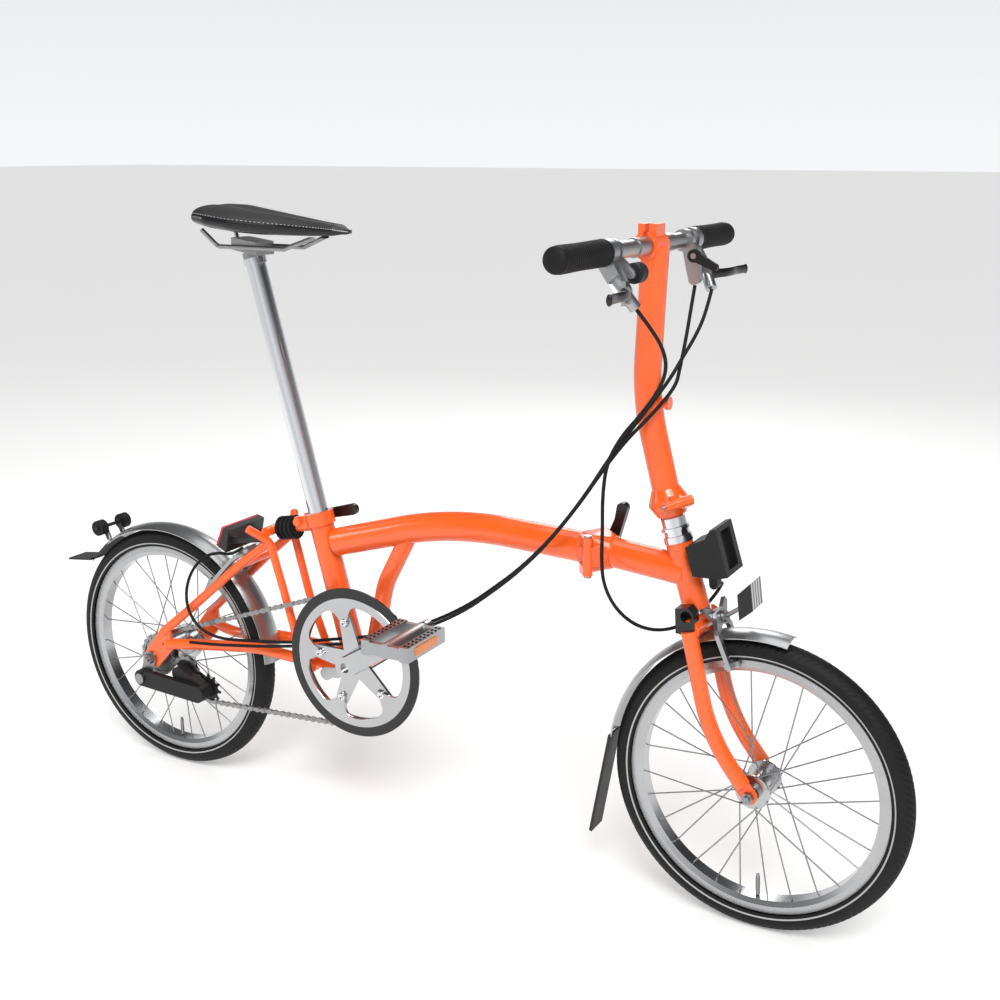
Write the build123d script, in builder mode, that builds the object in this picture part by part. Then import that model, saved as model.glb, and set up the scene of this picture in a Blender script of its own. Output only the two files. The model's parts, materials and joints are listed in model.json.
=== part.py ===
"""A folding bicycle with 349 mm wheels, as an assembly of separate pieces.

The frame is X forward, Y to the rider's left, Z up, with the ground at Z = 0 and the
origin half way along the whole length. Sizes are in millimetres.
"""

from math import asin, atan2, ceil, cos, degrees, hypot, pi, radians, sin, sqrt, tan
import os

from build123d import *

os.makedirs("parts", exist_ok=True)

# ---- main layout -----------------------------------------------------------------
wheelbase = 1045
rear_axle_x = -513
front_axle_x = rear_axle_x + wheelbase
tyre_radius = 209
axle_z = tyre_radius
crank_x = -99
crank_z = 278
pivot_x = -197  # rear frame pivot
pivot_z = 250
hinge_x = 289  # split plane of the main frame hinge
hinge_z = 504
hinge_pin_y = -36
head_x = 407  # top of the head tube, on the steering axis
head_z = 534
head_lean = 17.1  # degrees back from upright
seat_x = -196.5  # top of the seat tube, on its axis
seat_z = 492.3
seat_lean = 15.1
run_clearance = 0.08  # radial, a shaft in its bore
gap = 0.3  # between faces that move past each other

# ---- tubes -----------------------------------------------------------------------
main_tube_radius = 22
front_tube_radius = 21
seat_tube_radius = 19
strut_radius = 13.5
head_tube_radius = 18.5
head_tube_length = 93
tube_wall = 2
post_radius = 15.9
post_length = 520
post_inserted = 118
chainstay_radius = 9
seatstay_radius = 7.5
upright_radius = 6.5
blade_radius = 11
blade_y = 40
stem_radius = 18.5
bar_radius = 11.1
bar_length = 552
bar_x = 357
bar_z = 925
grip_radius = 17
grip_length = 128

# ---- wheels ----------------------------------------------------------------------
tyre_width = 37
tyre_casing = 4.5
rim_outer = 182
rim_inner = 165
rim_width = 26
spoke_count = 28
spoke_radius = 1
front_over_locknuts = 74
rear_over_locknuts = 112
dropout_thickness = 5
front_axle_radius = 4.5
rear_axle_radius = 4.76
front_flange_y = 25
rear_flange_y = 28

# ---- drive -----------------------------------------------------------------------
chain_pitch = 12.7
chainring_teeth = 54
sprocket_teeth = 16
chain_line = 44
chain_roller_radius = 3.9
chain_inner_width = 2.6
idler_teeth = 11
crank_length = 170
crank_angle = 31.8  # right crank, degrees up from straight ahead
shell_radius = 19
shell_width = 68
spindle_radius = 8
pedal_length = 96
pedal_width = 78

# ---- mudguards -------------------------------------------------------------------
guard_radius = 220
guard_width = 44
guard_sheet = 1.2


def pitch_radius(teeth):
    """Radius of a chainwheel's pitch circle."""
    return chain_pitch / (2 * sin(pi / teeth))


def side_plane(y=0):
    """Upright plane along the bicycle at a given Y, drawn in X and Z."""
    return Plane.XZ.offset(-y)


def head_axis(distance, forward=0):
    """X and Z of a point up the steering axis from the head tube's top, and ahead of it."""
    lean = radians(head_lean)
    return (
        head_x - distance * sin(lean) + forward * cos(lean),
        head_z + distance * cos(lean) + forward * sin(lean),
    )


def head_plane(distance, y=0, forward=0):
    """Plane square to the steering axis: its local X points ahead and its local Y left."""
    x, z = head_axis(distance, forward)
    lean = radians(head_lean)
    return Plane(
        origin=(x, y, z),
        x_dir=(cos(lean), 0, sin(lean)),
        z_dir=(-sin(lean), 0, cos(lean)),
    )


def seat_point(distance):
    """X and Z of a point up the seat tube's axis from its top."""
    lean = radians(seat_lean)
    return seat_x - distance * sin(lean), seat_z + distance * cos(lean)


def seat_plane(distance):
    """Plane square to the seat tube: its local X points ahead and its local Y left."""
    x, z = seat_point(distance)
    lean = radians(seat_lean)
    return Plane(
        origin=(x, 0, z),
        x_dir=(cos(lean), 0, sin(lean)),
        z_dir=(-sin(lean), 0, cos(lean)),
    )


def wheel_point(axle_x, radius, angle, y=0):
    """A point at a radius and an angle round a wheel."""
    turn = radians(angle)
    return (axle_x + radius * cos(turn), y, axle_z + radius * sin(turn))


def rod(start, end, radius, bore=0):
    """A straight round bar or tube between two points."""
    first, last = Vector(*start), Vector(*end)
    with BuildPart() as bar:
        with BuildSketch(Plane(origin=first, z_dir=last - first)):
            Circle(radius)
            if bore:
                Circle(bore, mode=Mode.SUBTRACT)
        extrude(amount=(last - first).length)
    return bar.part


def cross_bar(x, z, y_from, y_to, radius, bore=0):
    """A round bar or tube that lies along Y."""
    return rod((x, y_from, z), (x, y_to, z), radius, bore)


def bent_tube(route, bends, radius, bore=0):
    """A tube swept along straight runs joined by tangent arcs."""
    with BuildPart() as tube:
        with BuildLine() as path:
            FilletPolyline(*route, radius=bends)
        with BuildSketch(Plane(origin=path.line @ 0, z_dir=path.line % 0)):
            Circle(radius)
            if bore:
                Circle(bore, mode=Mode.SUBTRACT)
        sweep(path=path.line)
    return tube.part


def plate(outline, y_from, y_to, holes=()):
    """A flat plate drawn in X and Z, with holes given as (x, z, radius)."""
    with BuildPart() as sheet:
        with BuildSketch(side_plane(y_from)):
            with BuildLine():
                Polyline(*outline, close=True)
            make_face()
            for x, z, radius in holes:
                with Locations((x, z)):
                    Circle(radius, mode=Mode.SUBTRACT)
        extrude(amount=y_from - y_to)
    return sheet.part


def link_plate(start, end, width_start, width_end, y_from, y_to):
    """A flat plate with two round ends, drawn in X and Z between two points."""
    with BuildPart() as arm:
        with BuildSketch(side_plane(y_from)):
            with Locations(start):
                Circle(width_start)
            with Locations(end):
                Circle(width_end)
            make_hull()
        extrude(amount=y_from - y_to)
    return arm.part


def joined(*pieces, cut=()):
    """One solid out of pieces that are welded together, less what is cut from them."""
    with BuildPart() as whole:
        for piece in pieces:
            add(piece)
        for piece in cut:
            add(piece, mode=Mode.SUBTRACT)
    return whole.part


def save(name, *pieces):
    """Write one node: a single piece, or a group of separate pieces."""
    shape = pieces[0] if len(pieces) == 1 else Compound(children=list(pieces))
    shape.label = name
    export_step(shape, f"parts/{name}.step")


def both_sides(piece):
    """A piece and its mirror image in the bicycle's middle plane."""
    return [piece, mirror(piece, about=Plane.XZ)]


# ---- wheels ----------------------------------------------------------------------
def tyre(axle_x, valve_angle):
    """A hollow tyre open towards the rim, and the tube's valve."""
    half = tyre_width / 2
    crown = tyre_radius - half
    axis = Axis((axle_x, 0, axle_z), (0, 1, 0))
    with BuildPart() as casing:
        with BuildSketch(Plane.YZ.offset(axle_x)):
            with Locations((0, axle_z + crown)):
                Circle(half)
                Circle(half - tyre_casing, mode=Mode.SUBTRACT)
            with Locations((0, axle_z + rim_outer)):
                Rectangle(2 * tyre_width, tyre_width, align=(Align.CENTER, Align.MAX),
                          mode=Mode.SUBTRACT)
        revolve(axis=axis)
    valve = rod(
        wheel_point(axle_x, rim_inner - gap, valve_angle),
        wheel_point(axle_x, rim_inner - 32, valve_angle),
        3.2,
    )
    return [casing.part, valve]


def rim(axle_x):
    """A hollow-floored rim with two upright braking walls."""
    half = rim_width / 2
    wall = 2.4
    floor = 172
    inner_half = half - 3
    with BuildPart() as ring:
        with BuildSketch(Plane.YZ.offset(axle_x)):
            with BuildLine():
                Polyline(
                    (half, axle_z + rim_outer), (half, axle_z + floor),
                    (inner_half, axle_z + rim_inner), (-inner_half, axle_z + rim_inner),
                    (-half, axle_z + floor), (-half, axle_z + rim_outer),
                    (wall - half, axle_z + rim_outer), (wall - half, axle_z + floor + 1),
                    (half - wall, axle_z + floor + 1), (half - wall, axle_z + rim_outer),
                    close=True,
                )
            make_face()
        revolve(axis=Axis((axle_x, 0, axle_z), (0, 1, 0)))
    return ring.part


def spokes(axle_x, flange_radius, flange_y, crossing):
    """Straight spokes that cross, half of them on each side of each flange."""
    made = []
    beside_flange = 3.3
    for index in range(spoke_count):
        side = 1 if index % 2 else -1
        leads = 1 if (index // 2) % 2 else -1
        angle = 360 * (index + 0.5) / spoke_count
        y = side * (flange_y + leads * beside_flange)
        start = wheel_point(axle_x, flange_radius - 1.5, angle + leads * crossing, y)
        end = wheel_point(axle_x, rim_inner - 2 * gap, angle, side * 3)
        made.append(rod(start, end, spoke_radius))
    return made


def hub(axle_x, shell, flange_radius, flange_y, half_length, bore):
    """A hub shell with two spoke flanges, running on its axle."""
    flange = 3
    return joined(
        cross_bar(axle_x, axle_z, -half_length, half_length, shell * 0.75),
        cross_bar(axle_x, axle_z, -flange_y, flange_y, shell),
        cross_bar(axle_x, axle_z, -flange_y - flange / 2, -flange_y + flange / 2, flange_radius),
        cross_bar(axle_x, axle_z, flange_y - flange / 2, flange_y + flange / 2, flange_radius),
        cut=[cross_bar(axle_x, axle_z, -half_length, half_length, bore)],
    )


front_shell, front_flange = 15, 24
rear_shell, rear_flange = 22, 31
front_hub_half = front_over_locknuts / 2 - 5
rear_hub_half = 34
save("front_tyre", *tyre(front_axle_x, -88))
save("rear_tyre", *tyre(rear_axle_x, -90))
save("front_rim", rim(front_axle_x))
save("rear_rim", rim(rear_axle_x))
save("front_spokes", *spokes(front_axle_x, front_flange, front_flange_y, 50))
save("rear_spokes", *spokes(rear_axle_x, rear_flange, rear_flange_y, 45))
save("front_hub", hub(front_axle_x, front_shell, front_flange, front_flange_y,
                      front_hub_half, front_axle_radius + run_clearance))
save("rear_hub", hub(rear_axle_x, rear_shell, rear_flange, rear_flange_y,
                     rear_hub_half, rear_axle_radius + run_clearance))


def hexagon_nut(x, z, y_from, y_to, flats, bore):
    """A hexagon nut whose axis lies along Y."""
    with BuildPart() as nut:
        with BuildSketch(side_plane(y_from)):
            with Locations((x, z)):
                RegularPolygon(flats / 2, 6, major_radius=False)
                Circle(bore, mode=Mode.SUBTRACT)
        extrude(amount=y_from - y_to)
    return nut.part


def axle(axle_x, radius, over_locknuts, hub_half, spacer_right=0):
    """An axle with its cones inside the dropouts and its nuts outside them."""
    inner = over_locknuts / 2
    outer = inner + dropout_thickness
    cone = radius + 3.5
    nut = 7
    return joined(
        cross_bar(axle_x, axle_z, -outer - nut - 4 - spacer_right, outer + nut + 4, radius),
        cross_bar(axle_x, axle_z, hub_half + gap, inner, cone),
        cross_bar(axle_x, axle_z, -inner, -hub_half - gap, cone),
        hexagon_nut(axle_x, axle_z, outer, outer + nut, 3.3 * radius, 0.5),
        hexagon_nut(axle_x, axle_z, -outer - spacer_right, -outer - spacer_right - nut,
                    3.3 * radius, 0.5),
    )


tensioner_plate = 4  # the chain tensioner's plate under the right rear nut
sprocket_y = chain_line
sprocket_half = 4.5
save("front_axle", axle(front_axle_x, front_axle_radius, front_over_locknuts, front_hub_half))
rear_axle = joined(
    axle(rear_axle_x, rear_axle_radius, rear_over_locknuts, rear_hub_half, tensioner_plate),
    cut=[cross_bar(rear_axle_x, axle_z, -rear_hub_half, -sprocket_y - sprocket_half - gap, 20)],
)
rear_axle = joined(
    rear_axle,
    cross_bar(rear_axle_x, axle_z, -rear_hub_half + 1, -sprocket_y - sprocket_half - 1,
              rear_axle_radius),
)


# ---- fork ------------------------------------------------------------------------
steerer_radius = 14.3
crown_distance = -head_tube_length - 21
crown_x, crown_z = head_axis(crown_distance)
headset_lower = 6
headset_upper = 34
stem_base = headset_upper + 3  # up the steering axis: underside of the stem's lower casting
stem_split = stem_base + 17  # its split plane
stem_pin_out = 33
crown_radius = 14
blade_bend_x, blade_bend_z = 474.3, 282.6
blade_route = [
    (crown_x, blade_y, crown_z),
    (blade_bend_x, blade_y, blade_bend_z),
    (front_axle_x - 9, blade_y, axle_z + 14),
]
blade = bent_tube(blade_route, 230, blade_radius)
front_inner = front_over_locknuts / 2
fork_tip = link_plate((front_axle_x - 14, axle_z + 18), (front_axle_x, axle_z), 10, 11,
                      front_inner, front_inner + dropout_thickness)
axle_slot = 0.1  # how much wider than the axle a dropout is
front_slot = joined(
    cross_bar(front_axle_x, axle_z, 20, 60, front_axle_radius + axle_slot),
    plate([(front_axle_x - 4, axle_z), (front_axle_x + 4, axle_z),
           (front_axle_x + 4, axle_z - 20), (front_axle_x - 4, axle_z - 20)], 20, 60),
)
hub_room = cross_bar(front_axle_x, axle_z, 0, front_inner, 40)
nut_room = cross_bar(front_axle_x, axle_z, front_inner + dropout_thickness, 60, 9)
left_leg = joined(blade, fork_tip, cut=[front_slot, hub_room, nut_room])
steerer = rod(
    (*head_axis(crown_distance)[:1], 0, head_axis(crown_distance)[1]),
    (head_axis(stem_base + 2)[0], 0, head_axis(stem_base + 2)[1]),
    steerer_radius,
)
crown = cross_bar(crown_x, crown_z, -blade_y, blade_y, crown_radius)
bolt_run = 24
caliper_bolt_radius = 4
front_caliper_angle = degrees(atan2(crown_z - axle_z, crown_x - front_axle_x))


def tangent_point(axle_x, angle, radius, along, y=0):
    """A point near a wheel: out to a radius at an angle, then along the tangent there."""
    turn = radians(angle)
    return (
        axle_x + radius * cos(turn) - along * sin(turn),
        y,
        axle_z + radius * sin(turn) + along * cos(turn),
    )


crown_reach = hypot(crown_z - axle_z, crown_x - front_axle_x)
front_bolt = rod(
    tangent_point(front_axle_x, front_caliper_angle, crown_reach, 0),
    tangent_point(front_axle_x, front_caliper_angle, crown_reach, -crown_radius - bolt_run),
    caliper_bolt_radius,
)
save("fork", joined(left_leg, mirror(left_leg, about=Plane.XZ), crown, steerer, front_bolt))


# ---- brake calipers ----------------------------------------------------------------
arm_thickness = 6
pad_clearance = 2.2
pad_radius = 175


def caliper_plane(axle_x, angle, reach, along):
    """Plane square to the tangent: its local X is along Y and its local Y points outward."""
    turn = radians(angle)
    return Plane(
        origin=tangent_point(axle_x, angle, reach, along),
        x_dir=(0, 1, 0),
        z_dir=(sin(turn), 0, -cos(turn)),
    )


def caliper_arm(axle_x, angle, reach, along, side):
    """One curved brake arm with its block, bored to turn on the caliper's bolt."""
    plane = caliper_plane(axle_x, angle, reach, along)
    down = sqrt(pad_radius**2 - along**2) - reach
    inner = guard_width / 2 + 3
    with BuildPart() as arm:
        with BuildSketch(plane):
            with BuildLine():
                Polyline(
                    (-side * 9, 12), (-side * 26, 21), (-side * 30, 15), (-side * 10, -6),
                    (side * 12, -9), (side * inner, -18), (side * inner, down + 6),
                    (side * (rim_width / 2 + pad_clearance + 7), down + 6),
                    (side * (rim_width / 2 + pad_clearance + 7), down - 4),
                    (side * (inner + 8), down - 4), (side * (inner + 9), -16),
                    (side * 16, 10), close=True,
                )
            make_face()
            Circle(caliper_bolt_radius + run_clearance, mode=Mode.SUBTRACT)
        extrude(amount=arm_thickness)
    half_pad = 11
    with BuildPart() as pad:
        with BuildSketch(plane.offset(arm_thickness / 2 - half_pad)):
            with Locations((side * (rim_width / 2 + pad_clearance + 3.5), down)):
                Rectangle(7, 8)
        extrude(amount=2 * half_pad)
    return [arm.part, joined(pad.part, cut=[arm.part])]


front_along = -crown_radius - 9
save("front_caliper_left_arm",
     *caliper_arm(front_axle_x, front_caliper_angle, crown_reach, front_along, 1))
save("front_caliper_right_arm",
     *caliper_arm(front_axle_x, front_caliper_angle, crown_reach,
                  front_along - arm_thickness - gap, -1))

# ---- main frame ----------------------------------------------------------------------
tube_start = (-160, 449.1)
tube_peak = (51.5, 512)
tube_bend = 600
casting_length = 24
tube_seat = 6  # how far a tube goes into its hinge casting
face_gap = 0.15  # each hinge casting stands this far off the split plane
hinge_half_y = 29
hinge_half_z = 27
knuckle_radius = 7
hinge_pin_radius = 3.5
knuckle_split = 14
main_route = [
    (tube_start[0], 0, tube_start[1]),
    (tube_peak[0], 0, tube_peak[1]),
    (hinge_x - casting_length + tube_seat, 0, hinge_z),
]
bolt_slot = 4.6
clamp_reach = 12


def hinge_casting(direction, tube_radius):
    """One half of the main hinge: a tapering casting, less the clamp bolt's groove."""
    start = hinge_x + direction * face_gap
    end = hinge_x + direction * casting_length
    outward = Plane(origin=(start, 0, hinge_z), x_dir=(0, 1, 0), z_dir=(direction, 0, 0))
    with BuildPart() as casting:
        with BuildSketch(outward):
            RectangleRounded(2 * hinge_half_y, 2 * hinge_half_z, 9)
        with BuildSketch(outward.offset(casting_length - face_gap)):
            RectangleRounded(2 * tube_radius + 3, 2 * tube_radius + 3, tube_radius)
        loft()
        with Locations(Location((hinge_x, hinge_half_y - 5, hinge_z), (90, 0, 0))):
            Cylinder(bolt_slot, 2 * clamp_reach + 12, mode=Mode.SUBTRACT)
    return casting.part


def knuckle(z_from, z_to, direction):
    """A hinge barrel with the web that joins it to its casting."""
    reach = direction * 15
    with BuildPart() as barrel:
        with BuildSketch(Plane.XY.offset(z_from)):
            with Locations((hinge_x, hinge_pin_y)):
                Circle(knuckle_radius)
            with Locations((hinge_x + reach, hinge_pin_y + 11)):
                Circle(3)
            make_hull()
            with Locations((hinge_x - direction * (20 - face_gap), hinge_pin_y + 20)):
                Rectangle(40, 40, mode=Mode.SUBTRACT)
            with Locations((hinge_x, hinge_pin_y)):
                Circle(knuckle_radius)
                Circle(hinge_pin_radius + run_clearance, mode=Mode.SUBTRACT)
        extrude(amount=z_to - z_from)
    return barrel.part


knuckle_top = hinge_z + hinge_half_z
knuckle_bottom = hinge_z - hinge_half_z
middle_low = hinge_z - knuckle_split
middle_high = hinge_z + knuckle_split
middle_room = rod((hinge_x, hinge_pin_y, middle_low - gap),
                  (hinge_x, hinge_pin_y, middle_high + gap), knuckle_radius + gap)
rear_knuckles = joined(
    knuckle(knuckle_bottom, middle_low - gap, -1),
    knuckle(middle_high + gap, knuckle_top, -1),
)
end_room = joined(
    rod((hinge_x, hinge_pin_y, knuckle_bottom - 1), (hinge_x, hinge_pin_y, middle_low),
        knuckle_radius + gap),
    rod((hinge_x, hinge_pin_y, middle_high), (hinge_x, hinge_pin_y, knuckle_top + 1),
        knuckle_radius + gap),
)
seat_bottom = seat_point(-240)
seat_top = seat_point(0)
seat_bar = rod((seat_bottom[0], 0, seat_bottom[1]), (seat_top[0], 0, seat_top[1]),
               seat_tube_radius)
main_tube = joined(
    bent_tube(main_route, tube_bend, main_tube_radius, main_tube_radius - tube_wall),
    hinge_casting(-1, main_tube_radius),
    rear_knuckles,
    cut=[seat_bar, middle_room],
)
save("main_tube", main_tube)
main_pin = rod((hinge_x, hinge_pin_y, knuckle_bottom - 2),
               (hinge_x, hinge_pin_y, knuckle_top + 2), hinge_pin_radius)
main_pin = joined(
    main_pin,
    rod((hinge_x, hinge_pin_y, knuckle_top + gap), (hinge_x, hinge_pin_y, knuckle_top + 3), 5.5),
    rod((hinge_x, hinge_pin_y, knuckle_bottom - 3), (hinge_x, hinge_pin_y, knuckle_bottom - gap),
        5.5),
)

strut_route = [(-30, 0, 474), (-72, 0, 396), (crank_x, 0, crank_z)]
shell = cross_bar(crank_x, crank_z, -shell_width / 2, shell_width / 2, shell_radius)
curved_strut = joined(
    bent_tube(strut_route, 125, strut_radius, strut_radius - tube_wall),
    cut=[shell, bent_tube(main_route, tube_bend, main_tube_radius)],
)
save("curved_strut", curved_strut)

post_fit = post_radius + run_clearance
lug_half = 27
pivot_radius = 13
pivot_pin_radius = 6
stop_x = -238
stop_z = 462
seat_tube = joined(
    seat_bar,
    rod((stop_x, 0, stop_z), (stop_x + 38, 0, stop_z + 7), 7.5),
    cut=[
        rod((*seat_point(-242)[:1], 0, seat_point(-242)[1]),
            (seat_point(2)[0], 0, seat_point(2)[1]), post_fit),
        shell,
    ],
)
save("seat_tube", seat_tube)
pivot_web = plate(
    [(pivot_x - 4, pivot_z - 9), (pivot_x + 40, pivot_z - 2), (crank_x - 10, crank_z - 16),
     (crank_x - 4, crank_z), (pivot_x + 30, pivot_z + 26), (pivot_x, pivot_z + 11)],
    -lug_half + 4, lug_half - 4,
)
spindle_bore = cross_bar(crank_x, crank_z, -40, 40, spindle_radius + run_clearance)
post_room = rod((seat_point(-260)[0], 0, seat_point(-260)[1]), (seat_top[0], 0, seat_top[1]),
                seat_tube_radius)
long_post_room = rod((seat_point(-320)[0], 0, seat_point(-320)[1]),
                     (seat_top[0], 0, seat_top[1]), post_radius + 1)
bracket_shell = joined(
    shell,
    cross_bar(crank_x, crank_z, -shell_width / 2 - 4, shell_width / 2 + 4, shell_radius - 3),
    cross_bar(pivot_x, pivot_z, -lug_half, lug_half, pivot_radius),
    pivot_web,
    cut=[spindle_bore, post_room, long_post_room,
         cross_bar(pivot_x, pivot_z, -40, 40, pivot_pin_radius)],
)
rear_lug_outer = 37
pivot_bolt = joined(
    cross_bar(pivot_x, pivot_z, -rear_lug_outer - 2, rear_lug_outer + 2, pivot_pin_radius),
    cross_bar(pivot_x, pivot_z, rear_lug_outer + gap, rear_lug_outer + 4, 10),
    cross_bar(pivot_x, pivot_z, -rear_lug_outer - 4, -rear_lug_outer - gap, 10),
)
save("bottom_bracket", bracket_shell, pivot_bolt)

collar_low = -20
collar_height = 20
ear_end = 38  # behind the seat tube's axis
ear_length = 24
clamp_bolt_back = 31
with BuildPart() as collar:
    with BuildSketch(seat_plane(collar_low)):
        Circle(seat_tube_radius + 4)
        for side in (1, -1):
            with Locations((ear_length / 2 - ear_end, side * 13)):
                Rectangle(ear_length, 7)
        Circle(seat_tube_radius, mode=Mode.SUBTRACT)
        with Locations((-25, 0)):
            Rectangle(30, 15, mode=Mode.SUBTRACT)
    extrude(amount=collar_height)
clamp_bolt = seat_plane(collar_low + 12).from_local_coords((-clamp_bolt_back, 0, 0))
clamp_bolt_x, clamp_bolt_z = clamp_bolt.X, clamp_bolt.Z
collar_bolt = joined(
    cross_bar(clamp_bolt_x, clamp_bolt_z, -22, 27, 3.5),
    cross_bar(clamp_bolt_x, clamp_bolt_z, -22, -16.5, 6.5),
)
save("seat_clamp", joined(collar.part, cut=[collar_bolt, seat_tube]), collar_bolt)
lever_tip = seat_plane(collar_low + 12).from_local_coords((46, 0, 0))
lever_start = 17  # the lever's cam starts just outside the left ear
save("seat_clamp_lever", joined(
    cross_bar(clamp_bolt_x, clamp_bolt_z, lever_start, lever_start + 13, 9),
    link_plate((clamp_bolt_x, clamp_bolt_z), (lever_tip.X, lever_tip.Z), 7, 9,
               lever_start + 7, lever_start + 14),
    cut=[cross_bar(clamp_bolt_x, clamp_bolt_z, 10, 40, 3.5 + run_clearance)],
))

# ---- main hinge clamp ---------------------------------------------------------------
clamp_face = hinge_half_y + gap
bolt_radius = 4
plate_out = clamp_face + 7
save("main_hinge_clamp", joined(
    plate([(hinge_x - 15, hinge_z - 13), (hinge_x + 15, hinge_z - 13),
           (hinge_x + 15, hinge_z + 13), (hinge_x - 15, hinge_z + 13)], clamp_face, plate_out),
    cross_bar(hinge_x, hinge_z, hinge_half_y - clamp_reach, plate_out + 14, bolt_radius),
), main_pin)
lever_y = plate_out + gap
save("main_hinge_lever", joined(
    cross_bar(hinge_x, hinge_z, lever_y, lever_y + 13, 11),
    link_plate((hinge_x, hinge_z), (hinge_x + 12, hinge_z + 34), 9, 7, lever_y + 1, lever_y + 11),
    link_plate((hinge_x + 12, hinge_z + 34), (hinge_x + 16, hinge_z + 52), 7, 8,
               lever_y + 1, lever_y + 12),
    cut=[cross_bar(hinge_x, hinge_z, 0, lever_y + 30, bolt_radius + run_clearance)],
))

# ---- front frame ---------------------------------------------------------------------
head_low = head_plane(-head_tube_length)
head_bore = steerer_radius + 1.2
front_target = head_axis(-42)
front_run = [(hinge_x + casting_length - tube_seat, 0, hinge_z), (front_target[0], 0, front_target[1])]
head_solid = rod((head_low.origin.X, 0, head_low.origin.Z), (head_x, 0, head_z), head_tube_radius)
head_tube = rod((head_low.origin.X, 0, head_low.origin.Z), (head_x, 0, head_z),
                head_tube_radius, head_bore)
save("front_tube", head_tube, joined(
    rod(*front_run, front_tube_radius, front_tube_radius - tube_wall),
    hinge_casting(1, front_tube_radius),
    knuckle(middle_low, middle_high, 1),
    cut=[head_solid, end_room],
))
cup_bore = steerer_radius + run_clearance


def headset_ring(low, high, radius):
    """A ring round the steerer between two distances along it."""
    start, end = head_axis(low), head_axis(high)
    return rod((start[0], 0, start[1]), (end[0], 0, end[1]), radius, cup_bore)


save("headset",
     joined(headset_ring(0, 9, 20), headset_ring(9, 17, 17.5), headset_ring(17, 21, 20),
            headset_ring(21, headset_upper, 17)),
     headset_ring(-head_tube_length - headset_lower + gap, -head_tube_length, 19.5))

block_half = 30
block_face = 68  # ahead of the steering axis
slot_floor = block_face - 8
block_outline = [head_axis(-4, 20), head_axis(2, 50), head_axis(13, slot_floor),
                 head_axis(13, block_face), head_axis(-53, block_face), head_axis(-53, 52),
                 head_axis(-44, 20)]
block_slot = [head_axis(6, slot_floor), head_axis(6, block_face + 4),
              head_axis(-46, block_face + 4), head_axis(-46, slot_floor)]
bridge = [head_axis(-8, 10), head_axis(-8, 24), head_axis(-42, 24), head_axis(-42, 10)]
carrier_bridge = plate(bridge, 11, -11)
carrier = joined(
    plate(block_outline, block_half, -block_half),
    carrier_bridge,
    cut=[plate(block_slot, 17, -17), head_solid],
)
carrier_latch = link_plate(head_axis(-50, 38), head_axis(-65, 36), 5, 6, -8, 8)
save("carrier_block", carrier, joined(carrier_latch, cut=[carrier]))

# ---- handlebar catch, front reflector, stem hinge lower half ---------------------------
catch_x, catch_z = head_axis(crown_distance + 18, 0)
save("handlebar_catch", joined(
    plate([(catch_x - 12, catch_z - 22), (catch_x + 14, catch_z - 22), (catch_x + 12, catch_z + 8),
           (catch_x + 4, catch_z + 16), (catch_x - 14, catch_z + 12)], -24, -44),
    cut=[crown, left_leg, mirror(left_leg, about=Plane.XZ), head_solid,
         headset_ring(-head_tube_length - 12, -head_tube_length, 24),
         cross_bar(catch_x + 2, catch_z + 3, -30, -50, 8)],
))
reflector_x, reflector_z = 508, 470
reflector_half_y = 20
reflector_foot = tangent_point(front_axle_x, front_caliper_angle, crown_reach,
                               -crown_radius - bolt_run + 2)
foot_end = tangent_point(front_axle_x, front_caliper_angle, crown_reach,
                         -crown_radius - bolt_run - 3)
reflector_body = plate(
    [(reflector_x - 10, reflector_z + 9), (reflector_x + 7, reflector_z + 27),
     (reflector_x + 12, reflector_z - 10), (reflector_x - 6, reflector_z - 26)],
    reflector_half_y, -reflector_half_y,
)
save("front_reflector", joined(
    rod((reflector_x - 4, 0, reflector_z - 10), foot_end, 3),
    rod(reflector_foot, foot_end, 8),
    cut=[front_bolt, reflector_body],
), reflector_body)

half_turn = sqrt(0.5)


def stem_frame(distance):
    """Stem hinge frame: local X along the hinge pin, ahead and left at 45 degrees."""
    base = head_plane(distance)
    along = base.x_dir * half_turn + base.y_dir * half_turn
    return Plane(origin=base.origin, x_dir=along, z_dir=base.z_dir)


pin_offset = -stem_pin_out  # local Y of the pin: ahead and right
stem_flange = 28
knuckle_half = 20
knuckle_part = 8


def stem_knuckle(x_from, x_to, up):
    """A barrel on the stem hinge's pin with its web to the upper or lower casting."""
    split = stem_frame(stem_split)
    face = Plane(origin=split.from_local_coords((x_from, 0, 0)), x_dir=split.y_dir,
                 z_dir=split.x_dir)
    with BuildPart() as barrel:
        with BuildSketch(face):
            with Locations((pin_offset, 0)):
                Circle(knuckle_radius)
            with Locations((pin_offset + 12, up * 7)):
                Circle(4)
            make_hull()
            with Locations((pin_offset + 20, -up * (20 - face_gap))):
                Rectangle(40, 40, mode=Mode.SUBTRACT)
            with Locations((pin_offset, 0)):
                Circle(knuckle_radius)
                Circle(hinge_pin_radius + run_clearance, mode=Mode.SUBTRACT)
        extrude(amount=x_to - x_from)
    return barrel.part


def stem_casting(low, high, radius_low, radius_high):
    """A round tapering casting on the steering axis."""
    with BuildPart() as casting:
        with BuildSketch(head_plane(low)):
            Circle(radius_low)
        with BuildSketch(head_plane(high)):
            Circle(radius_high)
        loft()
    return casting.part


def stem_room(x_from, x_to):
    """The space that the other half's barrel turns in."""
    split = stem_frame(stem_split)
    return rod(split.from_local_coords((x_from, pin_offset, 0)),
               split.from_local_coords((x_to, pin_offset, 0)), knuckle_radius + gap)


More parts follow.
